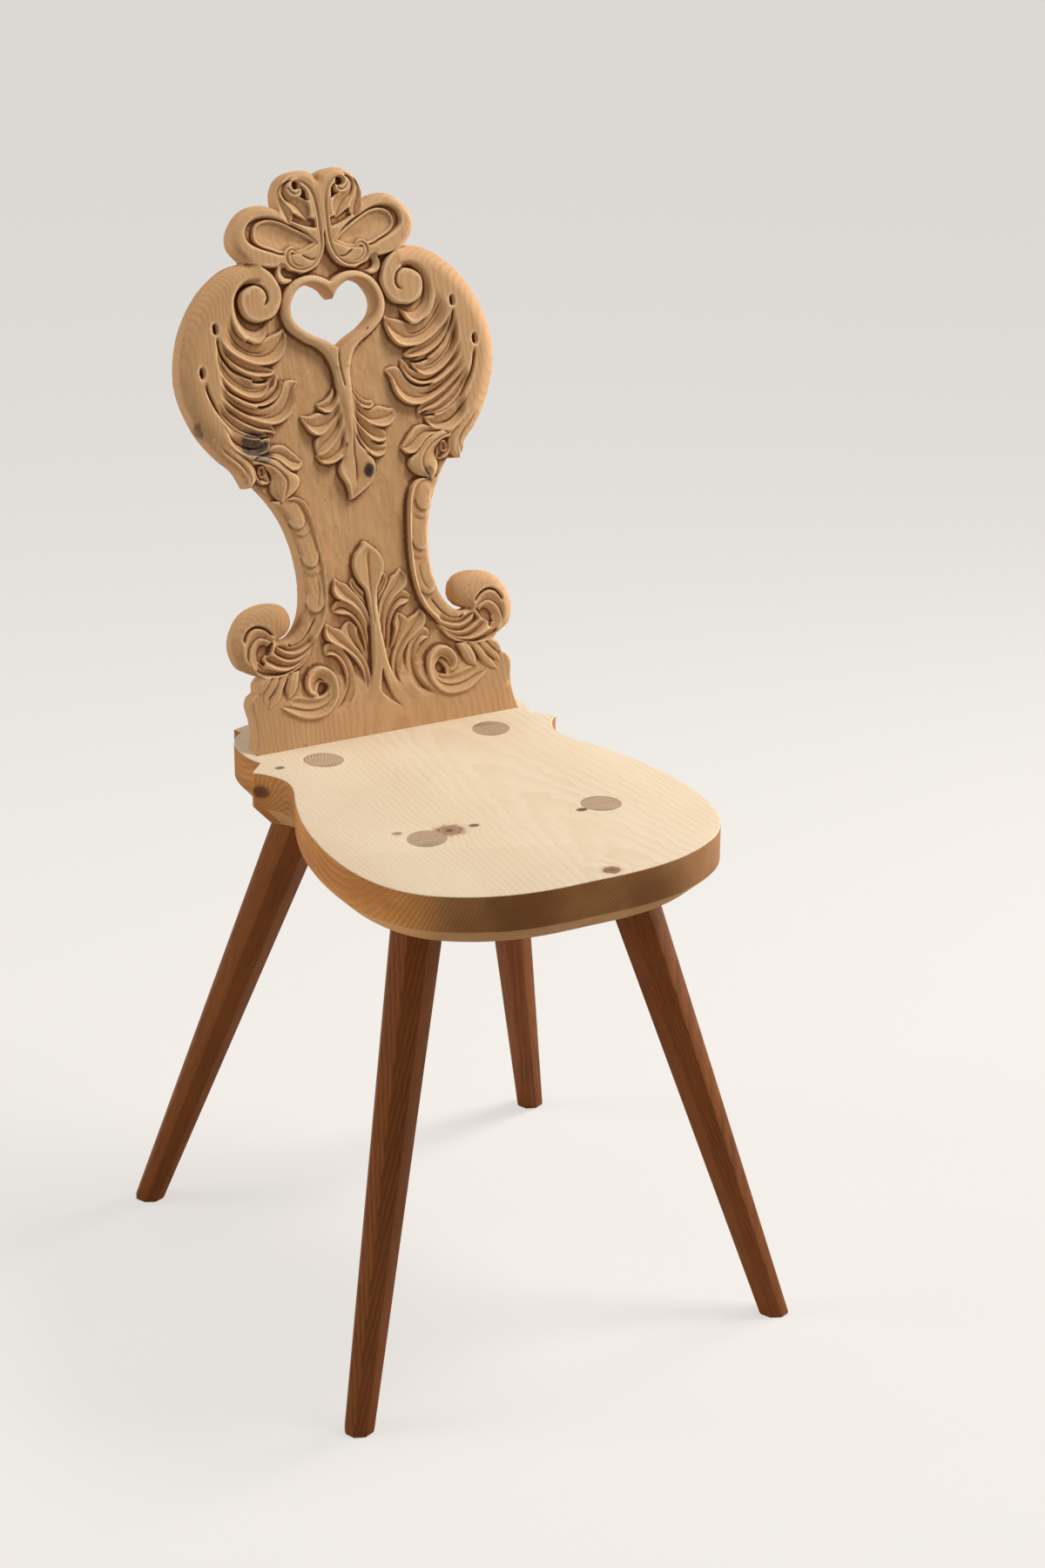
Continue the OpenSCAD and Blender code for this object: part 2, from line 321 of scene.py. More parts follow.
# ---------- wings ----------

VOLUTE = [(73, 401.5), (62, 398), (52, 390), (46.5, 379), (46, 370), (50, 361), (56, 355), (66, 352.5),
          (80, 350)]
FEATHER_SIDE = [(80, 350), (82, 330), (80, 290), (80, 262), (84, 247), (90, 241), (92, 228), (98, 219)]
FEATHERS = [
    # lower edge from the tip, upper edge from the tip, place of the vein across
    ([(46.5, 345), (45.6, 338), (47.5, 330), (52, 322.5), (58, 318.6), (66, 317.3), (75, 318.3),
      (83, 321.5), (90, 325.5), (97, 331), (103, 338), (107, 345)],
     [(46.5, 345), (51, 342.3), (57, 340.6), (63, 338.6), (70, 335.2), (78, 336), (85, 340.5),
      (90, 347), (93, 355), (94, 364)], 0.42),
    ([(59.2, 311.3), (62.5, 308.7), (68, 308), (75, 308.7), (83, 311), (89.5, 314.5), (96, 319.6),
      (101, 325.5), (105, 332.6), (107.7, 341)],
     [(59.2, 311.3), (64, 314), (69.5, 316.4), (76, 318.3), (83, 321.2), (90, 325.3), (97, 330.8),
      (102, 336), (105, 341), (107, 345)], 0.5),
    ([(68, 304.8), (75, 305), (82, 307), (90, 311), (98, 317), (103, 325), (107, 335), (108.5, 344)],
     [(68, 304.8), (73, 307.5), (79, 309.5), (86, 312.5), (93, 317), (99, 323), (104, 331),
      (107.5, 341)], 0.5),
    ([(65.8, 303.8), (67, 299.5), (71, 294), (76, 291.5), (83, 291.5), (89.5, 294), (96, 298),
      (102.5, 303.8), (106.5, 310.5), (109.3, 318), (110.5, 327), (110.5, 339)],
     [(65.8, 303.8), (70, 302.6), (76, 303), (82, 304.8), (88, 308), (94, 312.5), (99, 317.5),
      (103, 324), (106.5, 333), (108.6, 343)], 0.42),
    ([(57, 307.4), (55.2, 302), (56.5, 296.5), (60.5, 290.5), (66, 286.8), (72.5, 284.8), (80, 285),
      (87, 287.4), (95.8, 292.5), (103.7, 298), (109, 305), (112.5, 314)],
     [(57, 307.4), (60, 304.2), (62.5, 299.5), (66.5, 296.5), (71, 294), (76, 291.6), (83, 291.7),
      (90, 294.5), (96, 298.3), (103, 304.5), (107.5, 312), (110, 320)], 0.45),
    ([(40.3, 300.1), (43.5, 295.5), (45, 289), (46.5, 282.5), (50, 276), (55.5, 271.3), (62, 268.8),
      (69, 268.6), (75, 270.3), (83, 273.5), (90, 277), (97, 281.5), (104, 287), (110, 293),
      (114, 300)],
     [(40.3, 300.1), (45, 301.9), (50, 302), (53.5, 299.5), (56, 294.5), (59.5, 289), (65, 284.5),
      (72, 282.5), (80, 283), (88, 285.5), (96, 290), (103, 295.5), (108.5, 302), (112, 310)], 0.42),
    ([(66, 259.6), (69, 262), (74, 263), (82.5, 265), (89.5, 268.5), (96, 272.5), (104, 279),
      (110.3, 286.6), (115, 296)],
     [(66, 259.6), (66.4, 264.5), (69.5, 268.3), (75, 270), (83, 273.2), (90, 276.7), (97, 281.2),
      (104, 286.5), (112, 296)], 0.5),
    ([(73, 259.8), (80, 259), (88, 260), (95, 262.7), (102, 267), (109, 275), (114.5, 283),
      (119, 292)],
     [(73, 259.8), (76, 262.6), (83, 265), (90, 268.6), (96, 272.4), (103, 278.3), (109, 285),
      (115, 295)], 0.5),
    ([(71.8, 257), (73.4, 251), (77, 246.5), (82.5, 244.3), (89, 244.3), (96, 246.4), (102.5, 250.7),
      (107.5, 257), (111, 265)],
     [(71.8, 257), (76, 257.6), (82, 257.2), (88.5, 258.4), (95, 261), (101, 265), (106, 269.5),
      (110, 275)], 0.45),
]
WING_CUTS = [
    [(64, 305), (70, 304.3), (76, 305), (83, 307.3), (90, 311), (97.5, 317), (103, 325.5),
     (106.8, 335), (108.3, 345)],
    [(72, 259), (80, 258.8), (88, 259.8), (95.5, 262.8), (103, 268), (109, 274.8), (114.3, 282.6),
     (118.4, 290.5), (121.6, 300), (123.7, 310)],
]
WING_VEINS = [
    [(60, 331), (70, 327.5), (80, 330), (89, 337), (96, 348), (99, 358)],
    [(72, 299), (82, 299.5), (91, 304), (99, 311), (104.5, 320), (107.5, 332)],
    [(62, 280), (72, 276.5), (84, 279), (96, 286), (106, 294), (113, 303)],
    [(60, 296), (68, 290), (78, 288), (90, 292), (100, 299), (108, 310)],
    [(82, 251), (92, 251.5), (101, 257), (109, 266), (114, 275)],
]
WING_EYES = [(108.3, 351), (124.8, 317)]
SPIRAL = [(65, 364.5), (61, 366.5), (58.6, 371), (60, 377.5), (64.5, 381.8), (70, 382.8), (77, 380.5),
          (82.3, 376), (84, 370), (83, 362), (79, 356.5)]


def carve_wings():
    # The plain shoulder, at full height from the rounded outer edge in to the feathers
    wing = np.vstack([chain(VOLUTE, FEATHER_SIDE), smooth(WING_EDGE)[::-1]])
    rounding = 6.5 * ramp(V, 226, 268)[:, None]
    fill(wing, lambda d: FACE - rounding * eased(d, 15), smooth(WING_EDGE), 15)
    # A hollow sweeps round the volute and ends as the first feather
    sheet([(60, 386), (71, 388.5), (80, 386), (86.5, 379), (90, 370), (90.5, 360), (88, 350), (83, 341),
           (76, 336), (70, 335.3), (65, 340), (61.5, 349)],
          [(62, 384), (70, 383), (77, 380.5), (82.3, 376), (84, 370), (83, 362), (79, 356.5),
           (73, 353), (68, 352), (65, 351), (63, 350), (61.5, 349)],
          lambda s, t: 21.6 - 7.5 * ramp(t, 0, 0.2) * ramp(s, 0, 0.85) - 0.9 * line_at(s, 0.33, 0.08)
          - 0.9 * line_at(s, 0.62, 0.08), fades_in(0.06))
    groove(SPIRAL, 2.6, 5.0, 0.12)
    leaves(FEATHERS, 21.8, 6.0, fades(0.72, 1.0))
    for path in WING_CUTS:
        groove(path, 3.2, 5.5, 0.1)
    for path in WING_VEINS:
        groove(path, 1.6, 1.6, 0.25)
    for u, v in WING_EYES:
        drill(u, v, 2.2, 4.6, 11.0)


# ---------- small leaves under the wings ----------

def carve_wing_leaves():
    # Hanging leaf with its long vein
    sheet([(92, 246), (83, 243.5), (74, 241), (67, 237.5), (61, 231.5), (56.5, 227.3), (51.8, 224),
           (50.4, 219.5), (53, 214.3), (57, 210.6), (62, 207.8), (66.5, 205.5), (69.9, 203)],
          [(98, 244), (93, 238), (86, 236), (79, 232.5), (75.5, 228), (75.5, 224), (77.4, 219),
           (76.8, 213), (74, 208.5), (71.5, 205), (69.9, 203)],
          lambda s, t: 21.4 - 3.2 * (2 * s - 1) ** 2 * ramp(t, 0.15, 0.5) - 1.4 * ramp(t, 0, 1)
          + 1.2 * ramp(t, 0.35, 0.55) * ramp(1 - s, 0.3, 1), fades_in(0.14))
    groove([(96, 243), (90.5, 241.2), (82.6, 239), (73.4, 234.7), (66.8, 228.8), (62.9, 222.2),
            (62.9, 217), (65.5, 210.4), (69.5, 203.5)], 2.2, 1.8)
    # Pointed leaf above it
    sheet([(45.5, 234.7), (49.7, 229.5), (56.3, 228.8), (61.6, 232.8), (66.8, 238), (73.4, 241.5),
           (82, 243.4), (92, 245.5)],
          [(45.5, 234.7), (51, 241), (56.5, 246.5), (61, 250), (68, 251), (74, 249), (80, 246),
           (92, 246)], scoop(21.2, 4.2, 0.5, 1.8, 1.2), fades(0.75, 1))
    # Little curl round a spoon-shaped hollow
    sheet([(76.7, 222.2), (80, 220.8), (85, 221.5), (88.5, 225), (90, 231), (91, 238)],
          [(76.7, 222.2), (78, 227), (79, 232), (81.5, 235.5), (85, 237.5), (91, 238)],
          scoop(20.5, 5, 0.4, 1.5, 1.0))
    drill(84, 231, 2.6, 4.6, 17.2)
    # Barb at the wing's lower corner, flowing down from the shoulder
    sheet([(97.2, 219), (93, 221.5), (89.5, 226), (89.3, 233), (91.5, 239.5), (97, 245), (106, 252),
           (116, 262)],
          [(97.8, 219), (98.8, 222), (100.5, 228), (104.5, 233.5), (110, 238.5), (117, 246), (124, 255),
           (131, 266)],
          lambda s, t: 21.6 - 2.6 * (1 - ramp(s, 0, 0.3)) - 1.6 * ramp(s, 0.7, 1)
          - 1.2 * line_at(s, 0.5, 0.08), fades(0.35, 1))
    groove([(98.5, 223), (98, 232), (103, 240.5), (111, 248), (118, 257)], 1.5, 1.4, 0.2)


# ---------- heart, and the leaf that hangs from it ----------

HEART_RIM = [(0, 379), (6, 382.5), (13, 385), (22, 385.5), (31, 383), (38, 378.5), (43, 372),
             (46.5, 363), (47, 354), (44.5, 346), (40, 340), (30, 332), (22, 327.5), (15, 321.5),
             (11, 315), (8.5, 308), (7, 300)]
PENDANT_BODY = [(6, 304), (6, 292), (9, 281), (12.5, 272), (15.5, 263), (16, 254), (14, 245),
                (14.5, 235), (18.5, 228), (19, 220), (16, 213), (8, 205.5), (-6.3, 197.7), (-7.5, 205),
                (-9.5, 212), (-13, 219), (-13.6, 225), (-10, 232), (-11, 241), (-14, 250), (-15, 260),
                (-12, 271), (-8.5, 281), (-6, 292), (-6, 304)]
PENDANT = [
    # right half, upper lobe first: lower edge from the tip, upper edge from the tip, vein
    ([(25.3, 276.5), (25, 273), (20.5, 270.5), (14, 273), (10, 278), (6.5, 285), (4, 293)],
     [(25.3, 276.5), (20, 277.3), (15, 280.5), (11.5, 284.5), (8, 290), (6, 297)], 0.45),
    ([(43.3, 267.5), (42.5, 260), (37, 255), (30, 254.2), (22, 256.8), (15, 262), (9, 269), (4, 280)],
     [(43.3, 267.5), (37, 269), (30, 271.5), (25, 270.5), (19, 269.5), (14, 272.5), (8.5, 278),
      (5, 286)], 0.42),
    ([(33.6, 245), (30.5, 242.5), (24.5, 242.2), (18.5, 245.3), (13.5, 251), (8, 259), (4, 270)],
     [(33.6, 245), (32.5, 250.3), (27.5, 253.5), (21.5, 256.5), (15, 261.5), (9, 268.5), (4.5, 278)],
     0.4),
    ([(33, 239), (30.5, 232.8), (24, 230), (17, 232.5), (12, 238.5), (8, 247), (4, 258)],
     [(33, 239), (27, 239), (22, 241.5), (17.5, 245.5), (13, 251), (8, 259), (4.5, 268)], 0.45),
    # left half
    ([(-25.8, 279.5), (-24, 275.5), (-19, 272), (-13, 273), (-8.5, 279), (-5, 288)],
     [(-25.8, 279.5), (-20, 281), (-15.5, 283.5), (-11.5, 287.5), (-7, 294)], 0.5),
    ([(-41.8, 272), (-38, 262.5), (-34, 257), (-28, 254.2), (-21, 256.5), (-14, 262), (-8, 269),
      (-4, 280)],
     [(-41.8, 272), (-35, 270.7), (-30, 271.5), (-25.5, 272.5), (-19, 270.5), (-13, 272.8), (-6, 281)],
     0.42),
    ([(-31, 240.5), (-30.5, 237.5), (-24, 239.3), (-17, 244), (-11.5, 250), (-7, 258), (-4, 270)],
     [(-31, 240.5), (-31.8, 248), (-29, 252.5), (-24, 255), (-17, 260), (-11, 266), (-5, 276)], 0.5),
    ([(-32.3, 238), (-28, 231.5), (-20.5, 229.8), (-13.5, 231.8), (-7, 237), (-5, 245), (-3.5, 256)],
     [(-32.3, 238), (-26, 238), (-20, 241.5), (-14, 246.5), (-9.5, 252), (-5, 261)], 0.45),
]


def carve_heart():
    half = smooth(HEART_RIM)
    near_rim = np.minimum(distance(half, 5), distance(half * (-1, 1), 5))
    near_hole = distance(HEART, 5)
    fill(mirrored(half), lambda d: 21.8 - 2.6 * eased(near_rim, 4.5) - 2.0 * eased(near_hole, 3.5),
         sides=RIGHT)
    band([(0, 308), (0, 298), (0, 285), (0.5, 270), (1.5, 255), (2, 240)], [14, 14, 12, 9, 6, 3],
         crown(21.8, 2.0), fades(0.45, 1), RIGHT)
    groove([(0, 325), (-2, 316), (-1.5, 304), (0.5, 290)], 2.4, 2.2, 0.1, RIGHT)


def carve_pendant():
    lift = 19.6 + 1.6 * ramp(V, 250, 288)[:, None]
    fill(smooth(PENDANT_BODY), lambda d: lift - 2.4 * eased(d, 5), reach=8, sides=RIGHT)
    leaves(PENDANT, 21.4, 5.4, fades(0.72, 1), RIGHT)
    # The middle leaf: hollow halves either side of a vein, lifted along both edges
    sheet([(-10, 231.5), (-13.6, 225), (-13, 219), (-9.5, 212), (-7.5, 205), (-6.3, 197.7)],
          [(12, 236), (18.5, 228), (19, 220), (16, 213), (8, 205.5), (-6.3, 197.7)],
          lambda s, t: 18.6 + 2.6 * np.abs(2 * s - 1) ** 1.5 - 1.2 * ramp(t, 0.6, 1), fades_in(0.45),
          RIGHT)
    groove([(3, 268), (3, 252), (1.5, 238), (1.8, 222), (0, 208)], 2.2, 2.0, 0.15, RIGHT)
    groove([(5, 252), (8, 243), (14, 236)], 3.0, 3.0, 0.2, RIGHT)
    groove([(-4, 246), (-7, 238), (-11, 234)], 3.0, 3.0, 0.2, RIGHT)
    groove([(0, 300), (-1, 288), (0, 272)], 1.6, 0.8, 0.3, RIGHT)


# ---------- crest ----------

CREST_FOOT = [(67, 399.5), (58, 396.5), (47, 395), (40, 397), (34, 392), (22, 388.5), (12, 391),
              (6, 397), (2, 406), (0, 420)]
EAR_CHANNEL = [(7, 410), (22, 404), (40, 403.5), (49, 406.5), (58, 410), (65.5, 413.8), (70, 418.3),
               (71.3, 424), (69.5, 430), (65, 434.4), (58, 436.9), (50, 436.9), (42.5, 435), (36, 432),
               (26, 427.5), (15.5, 420), (7, 410)]
EAR_RIM = [(7, 411), (22, 404.5), (40.3, 405.2), (49, 408.5), (57.5, 412.2), (62.5, 416.5),
           (64.3, 422), (62.5, 428.5), (58, 432.3), (51, 433.9), (43.5, 433), (36, 430), (28, 425.5),
           (16, 418.5), (7, 411)]
STEM = [(19, 463), (14, 461), (9.3, 457), (6.5, 452), (4.8, 445), (3.9, 435), (3.7, 425), (3.8, 415),
        (5, 406.5), (8.5, 398.8), (14.5, 393), (22, 390.6), (29.5, 391.7), (34.6, 395.5),
        (36.6, 400.5), (35.2, 405.5), (31, 407.8), (27, 405)]
STEM_WIDTHS = [5, 6.5, 7.3, 7.3, 6.8, 6.8, 6.4, 6.4, 6.4, 6.2, 5.4, 4.5, 5.0, 6.6, 6.8, 6, 5, 3]


def carve_crest():
    top_edge = chain(CREST_CURL, CREST_EAR)
    crest = np.vstack([top_edge, smooth(CREST_FOOT)])
    fill(crest, lambda d: 21.6 - 3.5 * eased(d, 6), top_edge, 6)
    # Ear: outer rim, sunk channel, thin inner rim, hollow bowl
    fill(smooth(EAR_CHANNEL), lambda d: 20.6 - 4.6 * ramp(d, 0, 2.4), reach=5)
    fill(smooth(EAR_RIM), lambda d: 20.6 - 1.2 * (1 - ramp(d, 0, 0.8)) - 2.6 * ramp(d, 1.3, 3.2)
         - 1.4 * ramp(d, 3, 11), reach=12)
    # Fold under the blades
    sheet([(36, 436.5), (26, 430), (16, 425.5), (6.5, 423)], [(36, 437), (28, 437), (16, 433), (7, 430)],
          lambda s, t: 15.5 + 1.5 * t)
    # Two blades that fall from the curl
    sheet([(13, 429.7), (16, 431.5), (20, 434), (25, 437.5), (30, 443), (35, 450), (36.5, 456),
           (33, 461), (28, 463)],
          [(13, 429.7), (11, 436), (11.2, 441.5), (14, 446), (20, 448.5), (25, 451.5), (28, 456),
           (28, 460), (24, 463.5)], scoop(21.6, 4.2, 0.45, 1.6, 1.2))
    sheet([(29.5, 429), (33, 431), (36, 436), (38, 442), (38.6, 450), (36.5, 457), (32, 462.5)],
          [(29.5, 429), (26, 433), (26.5, 438), (29, 442.5), (33, 448), (35, 454), (32, 462.5)],
          scoop(21.8, 4.0, 0.5, 1.6, 1.2))
    for path in ([(20, 466.5), (27, 463.5), (31, 457), (30.5, 450), (26, 444)],
                 [(24, 468.5), (31, 464.5), (35, 457), (34.5, 449), (31, 443)]):
        groove(path, 1.8, 1.6, 0.2)
    # Pocket between stem and curl, and the lip under the eye
    sheet([(10.5, 446), (13, 447), (18, 450)], [(12, 457.5), (15, 458), (17, 455)], level(13.5))
    band([(15.8, 456.5), (17, 452.3), (20.5, 450.6), (25, 452), (28.5, 457)], [2.5, 4, 4, 3],
         crown(21, 2.5))
    # Stem: from the eye down the middle and up again in a hook
    band(STEM, STEM_WIDTHS, gutter(21.8, 2.2, 0.2))
    groove([(10, 398.5), (15, 398), (20, 400.5), (23.5, 403)], 2.2, 2.4, 0.15)
    groove([(22, 393), (28, 394), (32, 398), (32.5, 403), (30, 406)], 1.6, 1.2)
    drill(20, 459.3, 3.6, 3.6, 9.0)
    # Corner leaf between the hook, the ear and the heart
    sheet([(30, 386.5), (37, 381), (43, 381.5), (46.8, 386.5), (46.3, 393), (43.3, 397.3), (38, 396)],
          [(30, 388.5), (35, 389), (39, 386.5), (41.5, 388.5), (41.8, 391.8), (40.3, 393.8),
           (37, 393.5)], slope(20.8, 17.5))
    sheet([(26, 386.5), (33, 384), (40, 386)], [(26, 388), (33, 390.5), (40.5, 392)], level(14.5))


# ---------- waist bands with their husks ----------

WAIST_INNER = [(69, 205), (58, 206.5), (50, 202), (46, 193), (43.3, 180), (41.3, 165), (40, 150),
               (39.6, 135), (40.6, 122), (43, 110), (47, 100), (53, 91.5), (60, 84), (66, 80)]
WAIST_OUTER = [(78, 205.5), (75, 201), (71, 193), (68, 187), (64.5, 177), (62, 167), (60.3, 157),
               (59.5, 148), (59.3, 138), (59.8, 128), (61.5, 117), (65.5, 106.5), (70, 99), (79, 92),
               (89, 91.5)]
HUSKS = [
    # path, widths, height at its start, height at its round end
    ([(56.5, 190), (55.5, 182), (55.3, 174)], [18, 16, 13], 18.0, 20.4),
    ([(64, 204), (59.5, 192), (57.2, 180.6)], [16, 15, 11.5], 19.4, 21.9),
    ([(50.5, 158), (50, 149), (49.8, 140)], [17, 16, 13.5], 18.0, 20.4),
    ([(54.5, 176), (51.8, 161), (50.3, 147.6)], [17, 16, 11.5], 18.6, 21.8),
    ([(50.5, 144), (50.7, 128), (52, 119), (53.8, 110)], [17, 17, 16, 13], 18.4, 21.6),
]


def husk_share(s, t):
    """A husk grows out of the band, and only its round end stands clear of it."""
    free = ramp(t, 0.5, 0.75)
    return ramp(t, 0, 0.2) * (free + (1 - free) * ramp(np.minimum(s, 1 - s), 0, 0.2))


def carve_waist():
    sheet(WAIST_INNER, WAIST_OUTER, lambda s, t: 21.8 - 3.2 * ramp(s, 0.04, 0.22)
          - 1.0 * (1 - ramp(s, 0, 0.04)) - 2.0 * ramp(s, 0.8, 1.0))
    for path, widths, low, high in HUSKS:
        band(path, widths, lambda s, t, a=low, b=high: a + (b - a) * t - 0.5 * (2 * s - 1) ** 2,
             husk_share, round_end=widths[-1] * 0.6)
    groove([(47.2, 138), (47, 128), (49, 119), (53, 112.5)], 1.8, 1.5, 0.2)
    groove([(53, 107), (59, 98), (65, 91), (71, 86.8), (80, 85.5)], 2.2, 2.4)


# ---------- ball scrolls with the flame leaves ----------

FLAMES = [
    # lower edge from the tip, upper edge from the tip, place of the vein across
    ([(92.5, 88), (88, 83.5), (80, 79.5), (72, 79.3), (64, 81.5), (56, 86.5)],
     [(92.5, 88), (87, 88), (81, 85.6), (75, 85.5), (67, 88.5), (60, 94.5)], 0.5),
    ([(92.5, 88), (96, 82), (90, 76.5), (83, 73), (74, 73), (66, 76), (57, 83)],
     [(92.5, 88), (90, 83.5), (84, 80), (77, 78.5), (70, 79.8), (62, 84), (57, 88)], 0.45),
    ([(102, 81), (105, 77), (100, 72.5), (93, 68.5), (84, 66.5), (75, 68), (66, 73.5), (58, 81.5)],
     [(102, 81), (97, 80), (92, 76.5), (85, 73.3), (77, 72.6), (69, 75.5), (60, 82)], 0.5),
    ([(112, 68.5), (108, 64), (100, 62.5), (91, 62.3), (82, 64), (74, 66.5), (66, 72), (60, 79.5)],
     [(112, 72), (105, 71), (98, 68.3), (91, 66.5), (84, 66.3), (76, 68.5), (68, 73.5), (61, 80.5)],
     0.5),
]
BALL = np.vstack([smooth(SCROLL_EDGE), [(96, 62.5), (84, 63.5), (76, 80), (84, 90)]])
BALL_REACH = 17.0


def ball_share(far):
    """Low at the ball's edge, and 1 where it is at its full thickness."""
    return np.sqrt(1 - eased(far + 0.6, BALL_REACH))


def carve_scrolls():
    fill(BALL, lambda d: 11.5 + 10.0 * ball_share(d), smooth(SCROLL_EDGE), BALL_REACH)
    # Dark hollow inside the scroll, then the two strips that curl round it
    sheet([(95, 90), (98, 84), (103, 77), (106, 73)], [(96, 92), (103, 92), (109, 87), (110, 78)],
          level(13.8))
    sheet([(93, 95), (96.5, 99.5), (101.5, 103.5), (108, 105), (114, 102.8), (118.3, 98), (120, 92),
           (121, 84), (118, 75), (110, 67)],
          [(96.5, 91), (100, 94), (104.5, 96), (109, 95.3), (113.5, 92), (116.8, 87), (118.3, 80),
           (117, 74), (112, 69), (106, 66)], slope(21.0, 17.0, 1.5))
    sheet([(96.5, 91.5), (100.5, 94.2), (105, 95.3), (110, 94), (114.5, 90), (117.5, 84), (118, 77),
           (114, 70), (107, 66.5)],
          [(99, 88.5), (102.5, 90.5), (106, 89.5), (109, 86), (110.5, 81), (109.5, 76), (106, 71),
           (101, 67.5), (96, 66)], slope(20.5, 16.0, 1.5))
    groove([(94, 96), (98, 101.5), (103, 104.8), (109, 106), (115, 103.5), (119, 98.5), (120.6, 93)],
           3.0, 5.0, 0.12)
    leaves(FLAMES, 21.0, 4.8, lambda s, t: ramp(1 - t, 0, 0.15))


# ---------- plain base, spray of blades and C-scrolls ----------

SPRAY = [
    # lower edge from the tip, upper edge from the tip
    ([(113.5, 51), (108, 51.5), (103, 56), (99, 61), (97, 64)],
     [(113.5, 51), (113, 58), (109, 63), (103, 65), (98, 65)]),
    ([(110.5, 42.5), (104, 47), (98, 53), (93, 59.5), (91, 64)],
     [(110.5, 42.5), (110.5, 49), (106, 55), (102, 60), (99, 65)]),
    ([(107.5, 36.5), (99, 39.5), (94.5, 44), (91.5, 51), (87, 58), (83, 63)],
     [(107.5, 36.5), (105, 44), (99, 51), (95, 58), (92, 64)]),
    ([(88.5, 42.5), (82, 45.5), (78, 51), (76, 57), (73.5, 64)],
     [(88.5, 42.5), (89, 49), (88, 54), (85, 60), (82, 64)]),
]


def carve_base():
    # The sunk ground rises gently into the plain base
    rise = GROUND + (BASE_FACE - GROUND) * ramp(-V, -62, -34)[:, None] + 0 * relief
    low = (V < 64)[:, None] & (np.abs(U) < HALF_W)[None]
    relief[low] = rise[low]
    foot = np.vstack([smooth(FOOT_EDGE), [(123.5, -30), (108, -30), (108, 30), (104, 52)]])
    fill(foot, lambda d: BASE_FACE - 0.8 * eased(d, 2), smooth(FOOT_EDGE), 3)
    for low_edge, high_edge in SPRAY:
        sheet(low_edge, high_edge, lambda s, t: 21.2 - 2.6 * np.abs(2 * s - 1) ** 1.4
              - 1.3 * line_at(s, 0.5, 0.1) - 1.5 * ramp(t, 0.7, 1))
    # C-scroll: from its eye round the far side and away along the base
    band([(63, 43), (66.5, 46.5), (66.5, 53), (61.5, 59), (54.5, 60), (48.5, 55.5), (46.5, 49),
          (46.5, 41), (50, 33.5), (57, 28), (66, 26.5), (76, 28), (86, 32.5), (96, 37.5)],
         [3, 7.5, 9, 9.5, 9.5, 9.5, 8.5, 7.5, 8, 8.2, 7.8, 7, 5, 0.6],
         lambda s, t: 21.8 - 3.4 * ramp(s, 0.1, 1.0) - 1.3 * (1 - ramp(s, 0, 0.12)))
    groove([(62, 44), (65, 49), (62, 55), (55.5, 57), (50, 54)], 1.6, 1.2)
    sheet([(49.5, 47), (49, 40), (53, 34.5), (61, 31.5), (71, 31.5), (82, 35), (91, 40)],
          [(52, 46), (53, 42), (57, 39.8), (64, 39.5), (72, 41), (80, 43), (88, 43)],
          lambda s, t: 20.0 - 2.2 * ramp(s, 0, 0.5) + 1.8 * ramp(s, 0.5, 1), fades(0.8, 1))
    sheet([(49.5, 47), (53, 42), (59, 40)], [(51, 50), (56, 51), (60, 45)], level(12.5))


# ---------- tall leaf that stands on the base ----------

STANDING = [
    # outer edge from the tip, inner edge from the tip, height, drop
    ([(14.8, 133.4), (12.5, 127), (9, 122.5), (5, 118)],
     [(14.8, 133.4), (17.5, 128), (14, 121), (8, 113), (4, 106)], 19.5, 2.5),
    ([(30.3, 134.5), (33.8, 128), (33.5, 122), (29, 117), (22, 113), (15, 106), (10, 96), (7, 84)],
     [(30.3, 134.5), (25, 130.5), (21, 128.5), (16, 122), (10, 114), (6, 106), (4, 96), (4.5, 86)],
     21.0, 3.5),
    ([(35, 107), (29, 105), (22.5, 103), (17.5, 98), (13.5, 90), (11.5, 80), (10, 68)],
     [(35, 107), (36, 111.5), (31, 115.8), (24, 113.5), (16, 107), (10, 97), (7.5, 85), (7, 72)],
     21.0, 4.5),
    ([(22.5, 98), (18, 92), (17.5, 85), (15, 77), (12, 68)],
     [(22.5, 98), (28, 95), (31, 90), (27, 82), (21, 74), (15, 66)], 20.0, 3.0),
    ([(43.5, 98.5), (46.5, 92.5), (45.5, 86), (39, 80.5), (31, 75), (23, 67), (17.5, 57), (16, 46),
      (19, 34)],
     [(43.5, 98.5), (38, 94.5), (32, 91.5), (28, 85), (21, 76), (14.5, 67), (11, 57), (11, 47),
      (15, 36)], 21.0, 3.5),
    ([(47.5, 73), (43, 72.5), (38, 69.5), (34, 63), (32.5, 54), (34, 45), (38.5, 37), (45, 30),
      (53, 24)],
     [(47.5, 73), (49, 78.5), (45, 82.5), (38, 79.5), (30.5, 73), (25.5, 62), (24.5, 50), (27, 40),
      (33, 30), (40, 22.5)], 21.2, 4.0),
]


